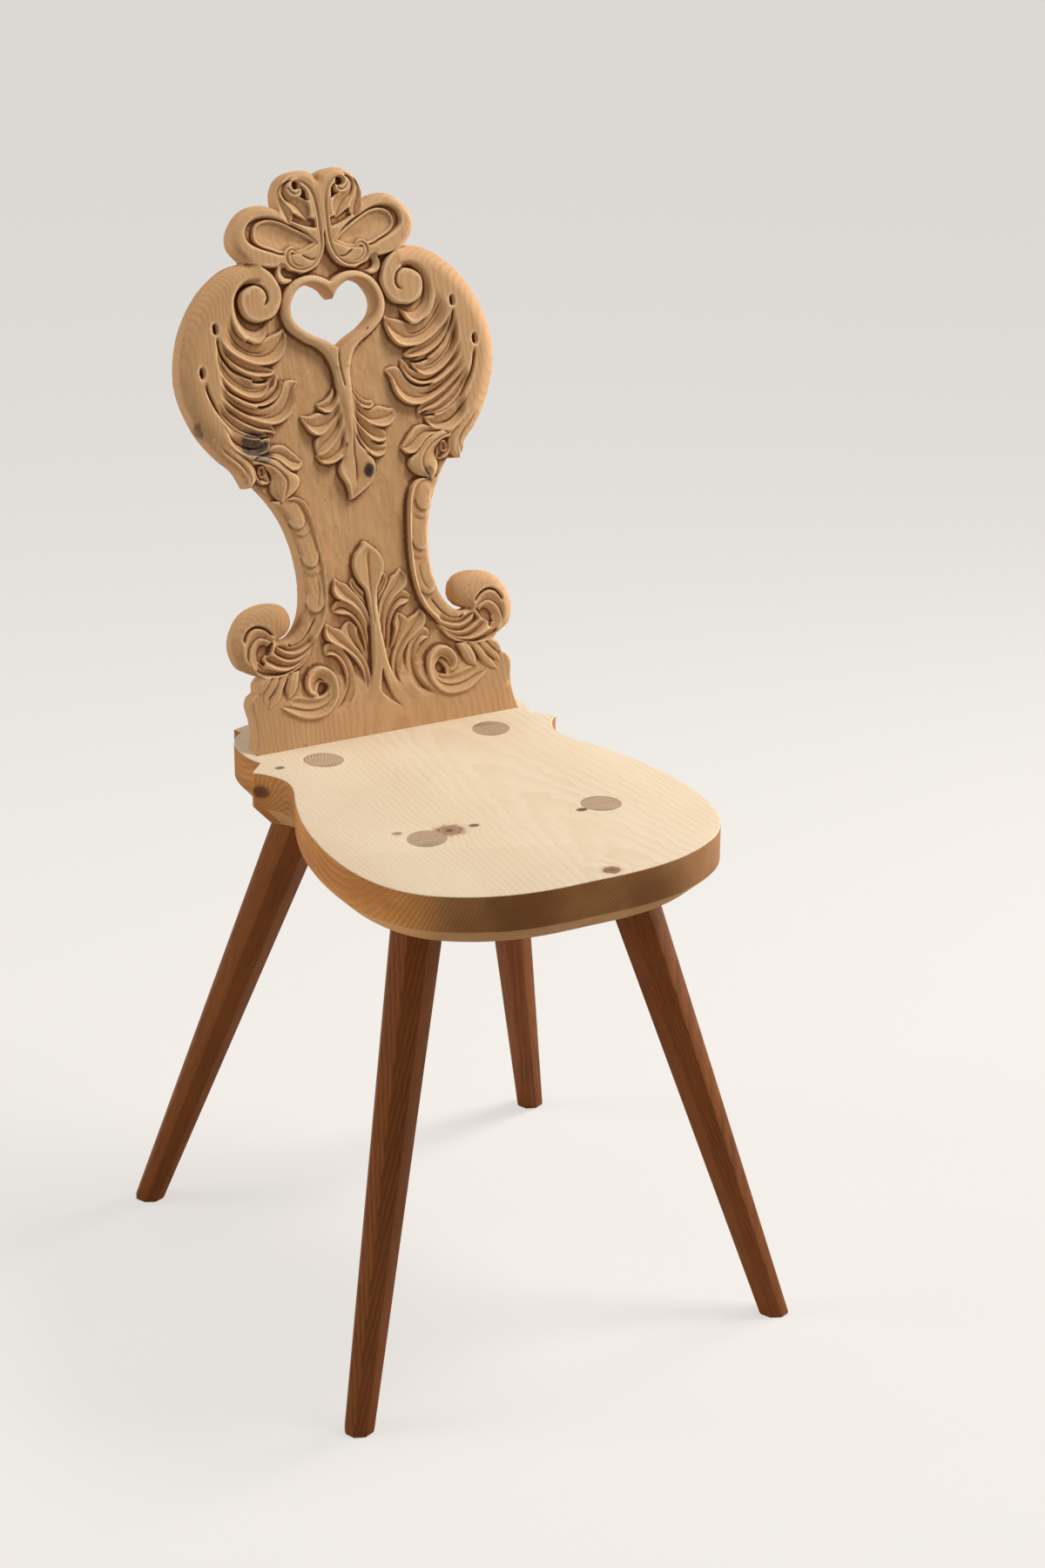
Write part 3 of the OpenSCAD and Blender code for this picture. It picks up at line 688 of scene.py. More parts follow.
def carve_standing_leaf():
    for low_edge, high_edge, top, drop in STANDING:
        sheet(low_edge, high_edge, scoop(top, drop + 1.5, 0.5, 1.8, 0.9), lambda s, t: ramp(1 - t, 0, 0.2))
    # Middle leaf, its ridge, and the stem that flares into the base
    sheet([(-0.5, 162), (-6, 156), (-10.5, 151.5), (-13, 145), (-12.5, 137), (-9.5, 129), (-5, 121),
           (-3.5, 108), (-4, 90), (-5.5, 72), (-8, 55), (-13, 41), (-20, 30), (-30, 20)],
          [(0.5, 162), (6, 157), (11.5, 151.5), (14.5, 144.5), (14, 136), (10, 128), (5.5, 120),
           (4, 108), (4.5, 90), (6, 72), (8.5, 55), (13.5, 41), (20, 31), (30, 20)],
          lambda s, t: 20.8 - 2.2 * (1 - np.abs(2 * s - 1)) * ramp(t, 0, 0.12) * ramp(0.42 - t, 0, 0.15)
          - 1.4 * ramp(t, 0.8, 1) - 1.0 * np.abs(2 * s - 1) ** 3, fades(0.86, 1), RIGHT)
    groove([(2, 156), (1, 146), (0, 130), (-1, 112), (-1.5, 90)], 2.0, 1.6, 0.12, RIGHT)
    groove([(2.6, 118), (3, 100), (4, 82), (6.5, 62), (11, 44), (18, 30)], 1.6, 1.2)
    # Dark split between the two feet of the stem
    sheet([(0.5, 54), (-1.5, 44), (-2.2, 36), (3, 29), (9, 24), (14.5, 20)],
          [(0.5, 54), (2.5, 46), (4.5, 38), (7, 31), (10, 25.5), (14.5, 20)],
          lambda s, t: 15.5 + 3.0 * t, None, RIGHT)


# ---------- tool marks ----------

GOUGE_MARKS, GOUGE_DIP = 1100, 0.6
TOOL_BLUR = 0.22


def gouge_marks():
    """The faint overlapping facets that a flat gouge leaves on the sunk ground."""
    rng = np.random.default_rng(5)
    marks = np.zeros_like(relief)
    for _ in range(GOUGE_MARKS):
        u, v = rng.uniform(-90, 90), rng.uniform(40, 400)
        r, a = rng.uniform(4, 9), rng.uniform(-0.5, 0.5)
        c, k, n = int((u - U[0]) / CELL), int((v - V[0]) / CELL), int(2 * r / CELL)
        c0, c1, k0, k1 = max(c - n, 0), min(c + n, len(U)), max(k - n, 0), min(k + n, len(V))
        du, dv = U[None, c0:c1] - u, V[k0:k1, None] - v
        x, y = du * math.cos(a) + dv * math.sin(a), (dv * math.cos(a) - du * math.sin(a)) / 1.8
        dip = GOUGE_DIP * np.clip(1 - (x * x + y * y) / (r * r) * 1.6, 0, 1)
        np.maximum(marks[k0:k1, c0:c1], dip, out=marks[k0:k1, c0:c1])
    return marks


def carve_board():
    """The finished height map of the board's face."""
    for carve in (carve_base, carve_waist, carve_wings, carve_wing_leaves, carve_pendant, carve_heart,
                  carve_crest, carve_scrolls, carve_standing_leaf):
        carve()
    ground = relief < GROUND + 1.0
    relief[ground] -= gouge_marks()[ground]
    return blur(relief, TOOL_BLUR)


# ---------- small helpers ----------

# Edges that bend by more degrees than this stay sharp
BOARD_SHARP, SHARP = 28, 30


@contextmanager
def edited(mesh):
    """A mesh opened for editing, and written back at the end."""
    edit = bmesh.new()
    edit.from_mesh(mesh)
    yield edit
    edit.to_mesh(mesh)
    edit.free()


def link(obj):
    bpy.context.scene.collection.objects.link(obj)
    return obj


def choose(*pieces):
    """Selects these pieces and no others, and makes the last of them the active one."""
    bpy.ops.object.select_all(action="DESELECT")
    for piece in pieces:
        piece.select_set(True)
    bpy.context.view_layer.objects.active = pieces[-1]


def copy_of(node, name):
    """A separate piece with the shape of a node of the frame, its loose triangles joined to faces."""
    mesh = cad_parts[node].data.copy()
    mesh.name = name
    mesh.materials.clear()
    with edited(mesh) as edit:
        bmesh.ops.remove_doubles(edit, verts=edit.verts, dist=1e-6)
        bmesh.ops.dissolve_limit(edit, angle_limit=math.radians(0.3), verts=edit.verts,
                                 edges=edit.edges)
    return link(bpy.data.objects.new(name, mesh))


def round_edges(piece, find, width, segments):
    """Rounds over the edges of a piece that find(edit) gives."""
    with edited(piece.data) as edit:
        bmesh.ops.bevel(edit, geom=find(edit), offset=width, segments=segments, profile=0.5,
                        affect="EDGES", clamp_overlap=True)


def soften(piece, degrees):
    """Smooth shading, kept sharp where faces meet at more than that many degrees."""
    choose(piece)
    bpy.ops.object.shade_smooth_by_angle(angle=math.radians(degrees))


def finish_piece(piece, node):
    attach(piece, "root")
    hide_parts(node)


def lowest(edge):
    return min(v.co.z for v in edge.verts)


def highest(edge):
    return max(v.co.z for v in edge.verts)


# ---------- materials ----------

class Shader:
    """Makes and joins the nodes of a material or of the world."""

    def __init__(self, owner):
        owner.use_nodes = True
        self.owner = owner
        self.tree = owner.node_tree

    def node(self, kind, inputs=(), **settings):
        made = self.tree.nodes.new(kind)
        for key, value in settings.items():
            setattr(made, key, value)
        for key, value in dict(inputs).items():
            self.put(made.inputs[key], value)
        return made

    def put(self, socket, value):
        """Gives an input its value, or joins it to another node's output."""
        if isinstance(value, bpy.types.NodeSocket):
            self.tree.links.new(value, socket)
        else:
            socket.default_value = value

    def math(self, how, a, b=0.0, clamp=False):
        return self.node("ShaderNodeMath", {0: a, 1: b}, operation=how, use_clamp=clamp).outputs[0]

    def vector(self, how, a, b=(0, 0, 0)):
        made = self.node("ShaderNodeVectorMath", {0: a, 1: b}, operation=how)
        return made.outputs["Value" if how == "LENGTH" else "Vector"]

    def ramp(self, value, low, high, first=0.0, last=1.0):
        """Runs smoothly from first to last as value runs from low to high."""
        made = self.node("ShaderNodeMapRange", {0: value, 1: low, 2: high, 3: first, 4: last})
        made.interpolation_type = "SMOOTHSTEP"
        return made.outputs[0]

    def mix(self, share, a, b, how="MIX"):
        made = self.node("ShaderNodeMix", {0: share, 6: a, 7: b}, data_type="RGBA", blend_type=how)
        return made.outputs[2]

    def noise(self, at, scale, detail=3.0, rough=0.55):
        made = self.node("ShaderNodeTexNoise",
                         {"Vector": at, "Scale": scale, "Detail": detail, "Roughness": rough})
        return made.outputs[0]

    def placed(self, at, turn=(0, 0, 0), stretch=(1, 1, 1), where=(0, 0, 0)):
        made = self.node("ShaderNodeMapping",
                         {"Vector": at, "Rotation": turn, "Scale": stretch, "Location": where})
        return made.outputs[0]

    def fill_in(self, name, inputs):
        """Sets inputs of a node that was there from the start."""
        for key, value in inputs.items():
            self.put(self.tree.nodes[name].inputs[key], value)


def tone(r, g, b):
    """A colour given as it looks, 0 to 255, in the shader's linear scale."""
    return tuple(((c / 255 + 0.055) / 1.055) ** 2.4 if c > 10 else c / 3294.6 for c in (r, g, b)) + (1.0,)


def knot_field(shader, at, centre, size):
    """0 at the middle of a knot, 1 at its edge and more outside, with an uneven outline."""
    off = shader.vector("SUBTRACT", at, centre)
    off = shader.vector("DIVIDE", off, size)
    wobble = shader.ramp(shader.noise(at, 160.0, 2.0), 0.25, 0.75, -0.12, 0.12)
    return shader.math("ADD", shader.vector("LENGTH", off), wobble)


def wood(name, pale, mid, dark, turn=(0, 0, 0), pith=(0.3, 0.2, 0), ring=0.004, wander=0.008,
         waver=1.0, contrast=0.5, knots=(), rough=0.62, painted_shade_attribute=None, painted_left_light=None, fibre=0.5,
         blotch=0.35, seed=0.0):
    """Solid wood with its grain along the turned Z axis.

    pith is where the tree's middle runs, ring the year rings' width, wander how far they stray and
    waver how much they ripple. fibre is how strongly fine dark streaks show, and blotch how far
    the wood's colour drifts from pale to mid.
    A knot is (place, size, edge colour, middle colour, share).
    cavity names the mesh attribute that says how hollow the carving is; it sets painted shade in the
    hollows and painted highlights on the ridges.
    painted_left_light is how much paler the wood is painted toward the left side: painted light for the
    light that falls on that side.
    """
    shader = Shader(bpy.data.materials.new(name))
    at = shader.node("ShaderNodeTexCoord").outputs["Object"]
    grain = shader.placed(at, turn)
    stray = shader.noise(shader.placed(grain, stretch=(5, 5, 1.6), where=(seed, 0, 0)), 1.0, 2.0)
    # Distance from the tree's middle, with a bulge round each knot, counted in years
    centred = shader.vector("SUBTRACT", grain, pith)
    flat = shader.vector("MULTIPLY", centred, (1, 1, 0))
    radius = shader.vector("LENGTH", flat)
    for place, size, _, _, _ in knots:
        near = knot_field(shader, at, place, tuple(3.0 * s for s in size))
        bulge = shader.ramp(near, 0.0, 1.2, 1.0, 0.0)
        radius = shader.math("ADD", radius, shader.math("MULTIPLY", bulge, 1.6 * ring))
    radius = shader.math("ADD", radius, shader.math("MULTIPLY", stray, wander * 4))
    turns = shader.math("DIVIDE", radius, ring)
    turns = shader.math("ADD", turns, shader.math("MULTIPLY", shader.noise(grain, 55.0, 2.0), waver))
    # Late wood grows darker slowly through its year and ends sharply
    year = shader.math("FRACT", turns)
    rise = shader.ramp(year, 0.15, 0.86)
    late = shader.math("MULTIPLY", rise, shader.ramp(year, 0.88, 1.0, 1.0, 0.0))
    strength = shader.ramp(shader.noise(grain, 14.0, 1.0), 0.3, 0.7, 0.45 * contrast, contrast)
    late = shader.math("MULTIPLY", late, strength)
    # Fine streaks along the grain, and soft clouds of colour
    streaks = shader.noise(shader.placed(grain, stretch=(1, 1, 0.03)), 900.0, 3.0, 0.6)
    streaks = shader.ramp(streaks, 0.3, 0.7, -0.5, 0.5)
    cloud = shader.ramp(shader.noise(shader.placed(grain, stretch=(1, 1, 0.3)), 16.0, 3.0), 0.3, 0.7)
    colour = shader.mix(shader.math("MULTIPLY", cloud, blotch), tone(*pale), tone(*mid))
    colour = shader.mix(late, colour, tone(*dark))
    fibres = shader.math("MULTIPLY", shader.ramp(streaks, 0.0, 0.5), fibre)
    colour = shader.mix(fibres, colour, shader.mix(0.5, colour, tone(*dark)))
    height = shader.math("ADD", shader.math("MULTIPLY", late, 0.6), streaks)
    for place, size, edge, middle, share in knots:
        colour = add_knot(shader, colour, at, place, size, edge, middle, share)
    if painted_shade_attribute:
        colour = paint_shade_and_highlights(shader, colour, painted_shade_attribute)
    if painted_left_light:
        # Painted light: the wood is made paler toward the left side, as if lit more there
        left = shader.vector("MULTIPLY", shader.vector("SUBTRACT", at, (0.05, 0, 0)), (1, 0, 0))
        side = shader.ramp(shader.vector("LENGTH", left), 0.155, 0.202)
        colour = shader.mix(side, colour, (*painted_left_light, 1), "MULTIPLY")
    gloss = shader.ramp(streaks, -0.5, 0.5, rough - 0.06, rough + 0.08)
    bump = shader.node("ShaderNodeBump", {"Strength": 0.35, "Distance": 0.00025, "Height": height})
    shader.fill_in("Principled BSDF", {"Base Color": colour, "Roughness": gloss,
                                       "Normal": bump.outputs[0], "Specular IOR Level": 0.25})
    return shader.owner


def add_knot(shader, colour, at, place, size, edge, middle, share):
    """A knot with its own rings, a dark rim and a cracked middle."""
    field = knot_field(shader, at, place, size)
    rings = shader.math("FRACT", shader.math("MULTIPLY", field, 3.2))
    body = shader.mix(shader.ramp(rings, 0.1, 0.9), tone(*middle), tone(*edge))
    body = shader.mix(shader.ramp(field, 0.12, 0.34, 0.8, 0.0), body, tone(*(0.45 * c for c in middle)))
    cover = shader.ramp(field, 0.8, 1.15, share, 0.0)
    halo = shader.ramp(field, 0.9, 1.7, 0.25 * share, 0.0)
    colour = shader.mix(halo, colour, tone(*edge))
    return shader.mix(cover, colour, body)


def paint_shade_and_highlights(shader, colour, attribute):
    """Paints shade into the wood's colour in the hollows of the carving and paints highlights on its
    ridges.
    """
    depth = shader.node("ShaderNodeAttribute", attribute_name=attribute).outputs["Fac"]
    # Painted shade: a darker multiplied colour for the hollows
    deep = shader.mix(1.0, colour, tone(138, 100, 74), "MULTIPLY")
    # Painted highlight: a pale colour for the ridges
    high = shader.mix(0.5, colour, tone(250, 220, 176))
    colour = shader.mix(shader.ramp(depth, 0.04, 0.62, 0.0, 0.85), colour, deep)
    return shader.mix(shader.ramp(depth, -0.4, -0.05, 0.9, 0.0), colour, high)


# ---------- back board ----------

def board_point(u, v, h):
    """Points of the board in the frame, from its own u, v and height in millimetres."""
    deep = FACE - h
    y = BOARD_Y + MM * (v * math.sin(LEAN) + deep * math.cos(LEAN))
    z = SEAT_TOP + MM * (v * math.cos(LEAN) - deep * math.sin(LEAN))
    return np.column_stack([MM * u, y, z])


def back_heights(far):
    """The back of the board: flat, eased at its edge, and rounded behind the ball scrolls."""
    heights = 1.6 * eased(far, 2.0)
    ball = inside(BALL)
    round_back = 10.5 * (1 - ball_share(distance(smooth(SCROLL_EDGE), BALL_REACH)))
    for side in BOTH:
        area, rise = (ball, round_back) if side > 0 else (ball[:, ::-1], round_back[:, ::-1])
        heights[area] = np.maximum(heights, rise)[area]
    return heights


def nearest_on(outline, u, v):
    """The nearest point of a closed line to each (u, v)."""
    p = even(np.vstack([outline, outline[:1]]), int(run_length(outline) / 0.15))
    out = np.empty((len(u), 2))
    for k, (x, y) in enumerate(zip(u, v)):
        out[k] = p[np.argmin((p[:, 0] - x) ** 2 + (p[:, 1] - y) ** 2)]
    return out


# How far the face falls toward its outline and over what width, and the highest of the back's rim
EDGE_DROP, EDGE_REACH, BACK_RIM = 1.2, 1.5, 11.0
# How much the rim is softened, in front and behind
FRONT_RIM_BLUR, BACK_RIM_BLUR = 0.9, 0.6
# Points nearer than this become one, and triangles smaller than this on the rim go (mm, mm2)
SAME_PLACE, SLIVER = 0.02, 0.02
# Bell curve's radius and the depth that counts as hollow, for fine and for broad hollows (mm), for the
# painted shade and highlights
HOLLOW_SCALES = ((1.0, 1.5), (4.0, 13.0))
# How deep below the face still counts as its front, and how far a front face looks forward
FRONT_DEEP, FRONT_LOOK = 12, -0.6
BOARD_TRIANGLES, LONGEST_EDGE = 150000, 0.0035


def triangle_mesh(name, points, faces):
    """A piece from an array of points and an array of triangles."""
    mesh = bpy.data.meshes.new(name)
    mesh.vertices.add(len(points))
    mesh.vertices.foreach_set("co", points.ravel())
    mesh.loops.add(faces.size)
    mesh.loops.foreach_set("vertex_index", faces.ravel())
    mesh.polygons.add(len(faces))
    mesh.polygons.foreach_set("loop_start", np.arange(0, faces.size, 3))
    mesh.update(calc_edges=True)
    return link(bpy.data.objects.new(name, mesh))


def make_board():
    """The carved board as a piece, and the map of how hollow its carving is."""
    front = carve_board()
    outline = mirrored(BOARD_HALF)
    solid_fine = inside(outline) & ~inside(HEART)
    solid = solid_fine[::MESH_STRIDE, ::MESH_STRIDE]
    far = np.minimum(distance(np.vstack([outline, outline[:1]]), 3), distance(HEART, 3))
    back_fine = back_heights(far)
    back = back_fine[::MESH_STRIDE, ::MESH_STRIDE].copy()
    front_now = (front - EDGE_DROP * eased(far, EDGE_REACH))[::MESH_STRIDE, ::MESH_STRIDE]
    u, v = np.meshgrid(U[::MESH_STRIDE], V[::MESH_STRIDE])
    # Cells with a corner inside are kept, and their outer corners move onto the outline
    kept = solid[:-1, :-1] | solid[1:, :-1] | solid[:-1, 1:] | solid[1:, 1:]
    used = np.zeros_like(solid)
    for rows in (slice(0, -1), slice(1, None)):
        for cols in (slice(0, -1), slice(1, None)):
            used[rows, cols] |= kept
    rim = used & ~solid
    rims = np.stack([nearest_on(edge, u[rim], v[rim]) for edge in (outline, HEART)])
    gaps = np.hypot(rims[..., 0] - u[rim], rims[..., 1] - v[rim])
    snapped = np.where((gaps[0] < gaps[1])[:, None], rims[0], rims[1])
    u[rim], v[rim] = snapped[:, 0], snapped[:, 1]
    row, col = cells(u[rim], v[rim])
    front_now[rim] = blur(front, FRONT_RIM_BLUR)[row, col] - EDGE_DROP
    back[rim] = np.minimum(blur(back_fine, BACK_RIM_BLUR)[row, col], BACK_RIM)
    # Rim points that fell on one place become one point
    places = np.rint(np.column_stack([u[used], v[used]]) / SAME_PLACE)
    _, first, same = np.unique(places, axis=0, return_index=True, return_inverse=True)
    number = np.full(solid.shape, -1)
    number[used] = same.ravel()
    count = len(first)
    u, v = u[used][first], v[used][first]
    points = np.vstack([board_point(u, v, h[used][first]) for h in (front_now, back)])
    corners = [number[:-1, :-1][kept], number[:-1, 1:][kept], number[1:, 1:][kept], number[1:, :-1][kept]]
    faces = np.vstack([np.stack([corners[0], corners[k], corners[k + 1]], axis=1) for k in (1, 2)])
    # Triangles without a width go
    p, q, r = faces.T
    area = ((u[q] - u[p]) * (v[r] - v[p]) - (u[r] - u[p]) * (v[q] - v[p])) / 2
    sliver = rim[used][first][faces].all(axis=1) & (area < SLIVER)
    faces = faces[(p != q) & (q != r) & (r != p) & ~sliver]
    faces = np.vstack([faces, faces[:, ::-1] + count, edge_walls(faces, count)])
    return triangle_mesh("carved_back_board", points, faces), hollow_field(front, solid_fine, far)


def edge_walls(faces, count):
    """Triangles that join the rim of the front faces to the rim of the back faces."""
    edges = np.vstack([faces[:, [k, (k + 1) % 3]] for k in range(3)])
    key = np.minimum(edges[:, 0], edges[:, 1]) * count * 2 + np.maximum(edges[:, 0], edges[:, 1])
    _, first, times = np.unique(key, return_index=True, return_counts=True)
    a, b = edges[first[times == 1]].T
    return np.vstack([np.stack([b, a, a + count], axis=1), np.stack([b, a + count, b + count], axis=1)])


def apply_modifier(piece, kind, **settings):
    choose(piece)
    made = piece.modifiers.new("shaping", kind)
    for setting, value in settings.items():
        setattr(made, setting, value)
    bpy.ops.object.modifier_apply(modifier=made.name)


def thin_out(piece, triangles, longest):
    """Fewer triangles, most of them where the surface bends, and none very long on the front."""
    apply_modifier(piece, "SMOOTH", factor=0.4, iterations=2)
    faces = sum(len(p.vertices) - 2 for p in piece.data.polygons)
    apply_modifier(piece, "DECIMATE", ratio=min(1.0, triangles / faces))
    with edited(piece.data) as edit:
        for _ in range(2):
            front = [f for f in edit.faces if f.normal.y < FRONT_LOOK]
            wide = {e for f in front for e in f.edges if e.calc_length() > longest}
            bmesh.ops.subdivide_edges(edit, edges=list(wide), cuts=1)
            all_triangles(edit)
        bmesh.ops.delete(edit, geom=[v for v in edit.verts if not v.link_faces], context="VERTS")


def all_triangles(edit):
    """Splits the faces that have more than three corners."""
    bmesh.ops.triangulate(edit, faces=[f for f in edit.faces if len(f.verts) > 3])


def cut_at_seat(edit, **side):
    """Cuts at the level of the seat's top, clears one side and gives what the cut made."""
    made = bmesh.ops.bisect_plane(edit, geom=edit.verts[:] + edit.edges[:] + edit.faces[:], dist=1e-7,
                                  plane_co=(0, 0, SEAT_TOP), plane_no=(0, 0, 1), **side)
    return made["geom_cut"]


def stand_on_seat(piece):
    """Cuts off what lies below the seat's top, closes the cut and clears faces without a width."""
    with edited(piece.data) as edit:
        cut_at_seat(edit, clear_inner=True)
        bmesh.ops.dissolve_degenerate(edit, edges=edit.edges, dist=3e-5)
        alone = [f for f in edit.faces if all(len(e.link_faces) == 1 for e in f.edges)]
        bmesh.ops.delete(edit, geom=alone, context="FACES")
        bmesh.ops.holes_fill(edit, edges=[e for e in edit.edges if e.is_boundary], sides=0)
        all_triangles(edit)


def board_tenons():
    """The two tenons under the board, that go through the seat to their keys."""
    piece = copy_of("back_board", "board_tenons")
    with edited(piece.data) as edit:
        cut = cut_at_seat(edit, clear_outer=True)
        bmesh.ops.edgeloop_fill(edit, edges=[e for e in cut if isinstance(e, bmesh.types.BMEdge)])
    return piece


def hollow_field(front, solid, far):
    """How hollow the carving is, for the painted shade and highlights: above 0 in hollows, below 0 on
    ridges, 0 at the board's own edge.
    """
    total = np.zeros_like(front)
    for radius, scale in HOLLOW_SCALES:
        around = blur(front * solid, radius) / np.maximum(blur(1.0 * solid, radius), 0.05)
        total += (around - front) / scale
    return blur(np.where(solid & (far > 0.8), total, 0.0), 0.3)


def mark_hollows(piece, hollows):
    """Writes how hollow the carving is at each vertex of the front, for the painted shade and highlights.
    """
    co = np.empty(len(piece.data.vertices) * 3)
    piece.data.vertices.foreach_get("co", co)
    x, y, z = co.reshape(-1, 3).T / MM
    y, z = y - BOARD_Y / MM, z - SEAT_TOP / MM
    v, deep = y * math.sin(LEAN) + z * math.cos(LEAN), y * math.cos(LEAN) - z * math.sin(LEAN)
    row, col = cells(x, v)
    value = np.where(deep < FRONT_DEEP, hollows[row, col], 0.0)
    layer = piece.data.attributes.new("hollow", "FLOAT", "POINT")
    layer.data.foreach_set("value", value.astype(np.float32))


board, board_hollows = make_board()
thin_out(board, BOARD_TRIANGLES, LONGEST_EDGE)
stand_on_seat(board)
mark_hollows(board, board_hollows)
choose(board_tenons(), board)
bpy.ops.object.join()
soften(board, BOARD_SHARP)
finish_piece(board, "back_board")

# ---------- seat ----------

SEAT_ROUNDING = 0.0012


def is_flat(face):
    return abs(face.normal.z) > 0.999


def longest_rim(edit, height):
    """The seat's own outline at a height, without the rims of the holes."""
    rim = {e for e in edit.edges if len(e.link_faces) == 2 and lowest(e) > height - 1e-5
           and highest(e) < height + 1e-5 and not all(is_flat(f) for f in e.link_faces)}
    best = []
    while rim:
        loop, todo = [], [rim.pop()]
        while todo:
            edge = todo.pop()
            loop.append(edge)
            for vert in edge.verts:
                for other in vert.link_edges:
                    if other in rim:
                        rim.remove(other)
                        todo.append(other)
        if sum(e.calc_length() for e in loop) > sum(e.calc_length() for e in best):
            best = loop
    return best


def seat_rims(edit):
    """The outlines of the seat's top, of the lower side of its square edge and of its bottom."""
    return [e for z in (SEAT_TOP, SEAT_TOP - SEAT_EDGE, SEAT_BOTTOM) for e in longest_rim(edit, z)]


seat = copy_of("seat", "seat_board")
round_edges(seat, seat_rims, SEAT_ROUNDING, 3)
soften(seat, SHARP)
finish_piece(seat, "seat")

# ---------- legs ----------

LEG_NAMES = ("front_left", "front_right", "rear_left", "rear_right")
FOOT_ROUNDING, ARRIS_ROUNDING = 0.0022, 0.0009
FOOT_LEVEL, ARRIS_RISE = 0.02, 0.2


def foot_edges(edit):
    """The edges round a leg's foot."""
    return [e for e in edit.edges if e.is_manifold and highest(e) < FOOT_LEVEL]


def arrises(edit):
    """The long edges between a leg's facets."""
    return [e for e in edit.edges if e.is_manifold and highest(e) - lowest(e) > ARRIS_RISE]


legs = {name: copy_of("leg_" + name, "tapered_leg_" + name) for name in LEG_NAMES}
for name, leg in legs.items():
    round_edges(leg, foot_edges, FOOT_ROUNDING, 2)
    round_edges(leg, arrises, ARRIS_ROUNDING, 2)
    soften(leg, SHARP)
for name, leg in legs.items():
    finish_piece(leg, "leg_" + name)

# ---------- the woods ----------

PALE, HONEY = (237, 220, 193), (223, 178, 130)
ALONG_BOARD = (LEAN + math.radians(1.2), math.radians(1), 0)
ALONG_SEAT = (math.radians(92.2), 0, math.radians(1.5))
DARK_BROWN, PINK_BROWN = (88, 56, 36), (176, 110, 72)


def on_board(u, v):
    """A place on the board's front face, in metres."""
    return tuple(float(c) for c in board_point(np.array([u]), np.array([v]), FACE - 2.0)[0])


def on_seat(x, y):
    """A place on the seat's top, from the middle of its tenons in millimetres."""
    return (MM * x, TENON_MIDDLE_Y + MM * y, SEAT_TOP)


CORNER_STAIN = (-0.137, TENON_MIDDLE_Y + 0.090, SEAT_TOP - 0.016)
board_knots_and_painted_shade = [
    (on_board(-86, 253), (0.0125, 0.0135, 0.012), (50, 42, 45), (116, 92, 80), 0.88),
    (on_board(-79, 244), (0.007, 0.005, 0.006), (64, 50, 48), (44, 36, 38), 0.75),
    (on_board(13, 220), (0.0055, 0.012, 0.0055), DARK_BROWN, (40, 28, 24), 0.95),
    (on_board(67, 210), (0.005, 0.010, 0.006), (120, 84, 62), (90, 62, 48), 0.7),
    # A dark streak on the left wing's outer side: part real stain, part painted shade where that side is
    # in shadow
    (on_board(-134, 262), (0.004, 0.016, 0.016), (110, 74, 52), (80, 54, 42), 0.6),
]
board_wood = wood("carved_stone_pine", HONEY, (208, 160, 112), (164, 112, 70), turn=ALONG_BOARD,
                  pith=(0.03, 0.16, 0), ring=0.0021, wander=0.007, contrast=0.27, knots=board_knots_and_painted_shade,
                  rough=0.66, painted_shade_attribute="hollow", fibre=0.34, blotch=0.6)
seat_knots = [
    (on_seat(-55, -87), (0.013, 0.011, 0.02), (190, 150, 118), (120, 84, 66), 0.9),
    (on_seat(-94, -74), (0.004, 0.0035, 0.01), PINK_BROWN, (110, 70, 50), 0.6),
    (on_seat(-33, -87), (0.004, 0.003, 0.01), DARK_BROWN, (80, 52, 38), 0.8),
    (on_seat(58, -98), (0.005, 0.003, 0.01), DARK_BROWN, (70, 44, 32), 0.85),
    (on_seat(19, -214), (0.007, 0.007, 0.030), PINK_BROWN, DARK_BROWN, 0.85),
    (on_seat(-117, 95), (0.004, 0.003, 0.01), DARK_BROWN, (90, 60, 44), 0.75),
    (CORNER_STAIN, (0.006, 0.012, 0.0055), (96, 60, 36), (52, 32, 22), 0.85),
]
seat_wood = wood("seat_pine", PALE, (229, 205, 170), (206, 168, 124), turn=ALONG_SEAT,
                 pith=(0.05, -0.30, 0), ring=0.0034, wander=0.006, contrast=0.22, knots=seat_knots,
                 rough=0.55, fibre=0.22, blotch=0.4, seed=3.0)
END_GRAIN = {"turn": ALONG_SEAT, "pith": (0.16, -0.30, 0), "ring": 0.0026, "wander": 0.003,
             "waver": 0.5, "rough": 0.66, "seed": 3.0}
# The edge wood is painted paler toward the seat's left side, as painted light
seat_edge = wood("seat_edge_pine", (184, 130, 76), (144, 94, 48), (108, 66, 32), contrast=0.45,
                 knots=seat_knots[4:], painted_left_light=(1.95, 1.9, 1.75), fibre=0.35, blotch=0.9,
                 **END_GRAIN)
# Painted light: a paler wood for the seat's slope and underside, where the floor's light falls
seat_bevel_painted_light = wood("seat_bevel_pine_painted_light", (214, 166, 112), (190, 140, 88), (146, 98, 54), contrast=0.4,
                  painted_left_light=(1.5, 1.45, 1.35), fibre=0.3, blotch=0.7, **END_GRAIN)
tenon_end = wood("tenon_end_grain", (204, 180, 150), (188, 162, 132), (140, 110, 84), ring=0.0028,
                 pith=(0.02, 0.04, 0), contrast=0.9, wander=0.002, rough=0.6, fibre=0.5)
key_wood = wood("key_larch", (150, 100, 62), (128, 82, 48), (96, 58, 34),
                turn=(0, math.radians(90), 0), ring=0.003, contrast=0.6)
wedge_wood = wood("wedge_larch", (200, 170, 134), (184, 152, 116), (148, 116, 84), ring=0.003,
                  contrast=0.4)


def dress(piece, *woods):
    """Gives a piece these woods, in the order of its faces' numbers for them."""
    piece.data.materials.clear()
    for material in woods:
        piece.data.materials.append(material)


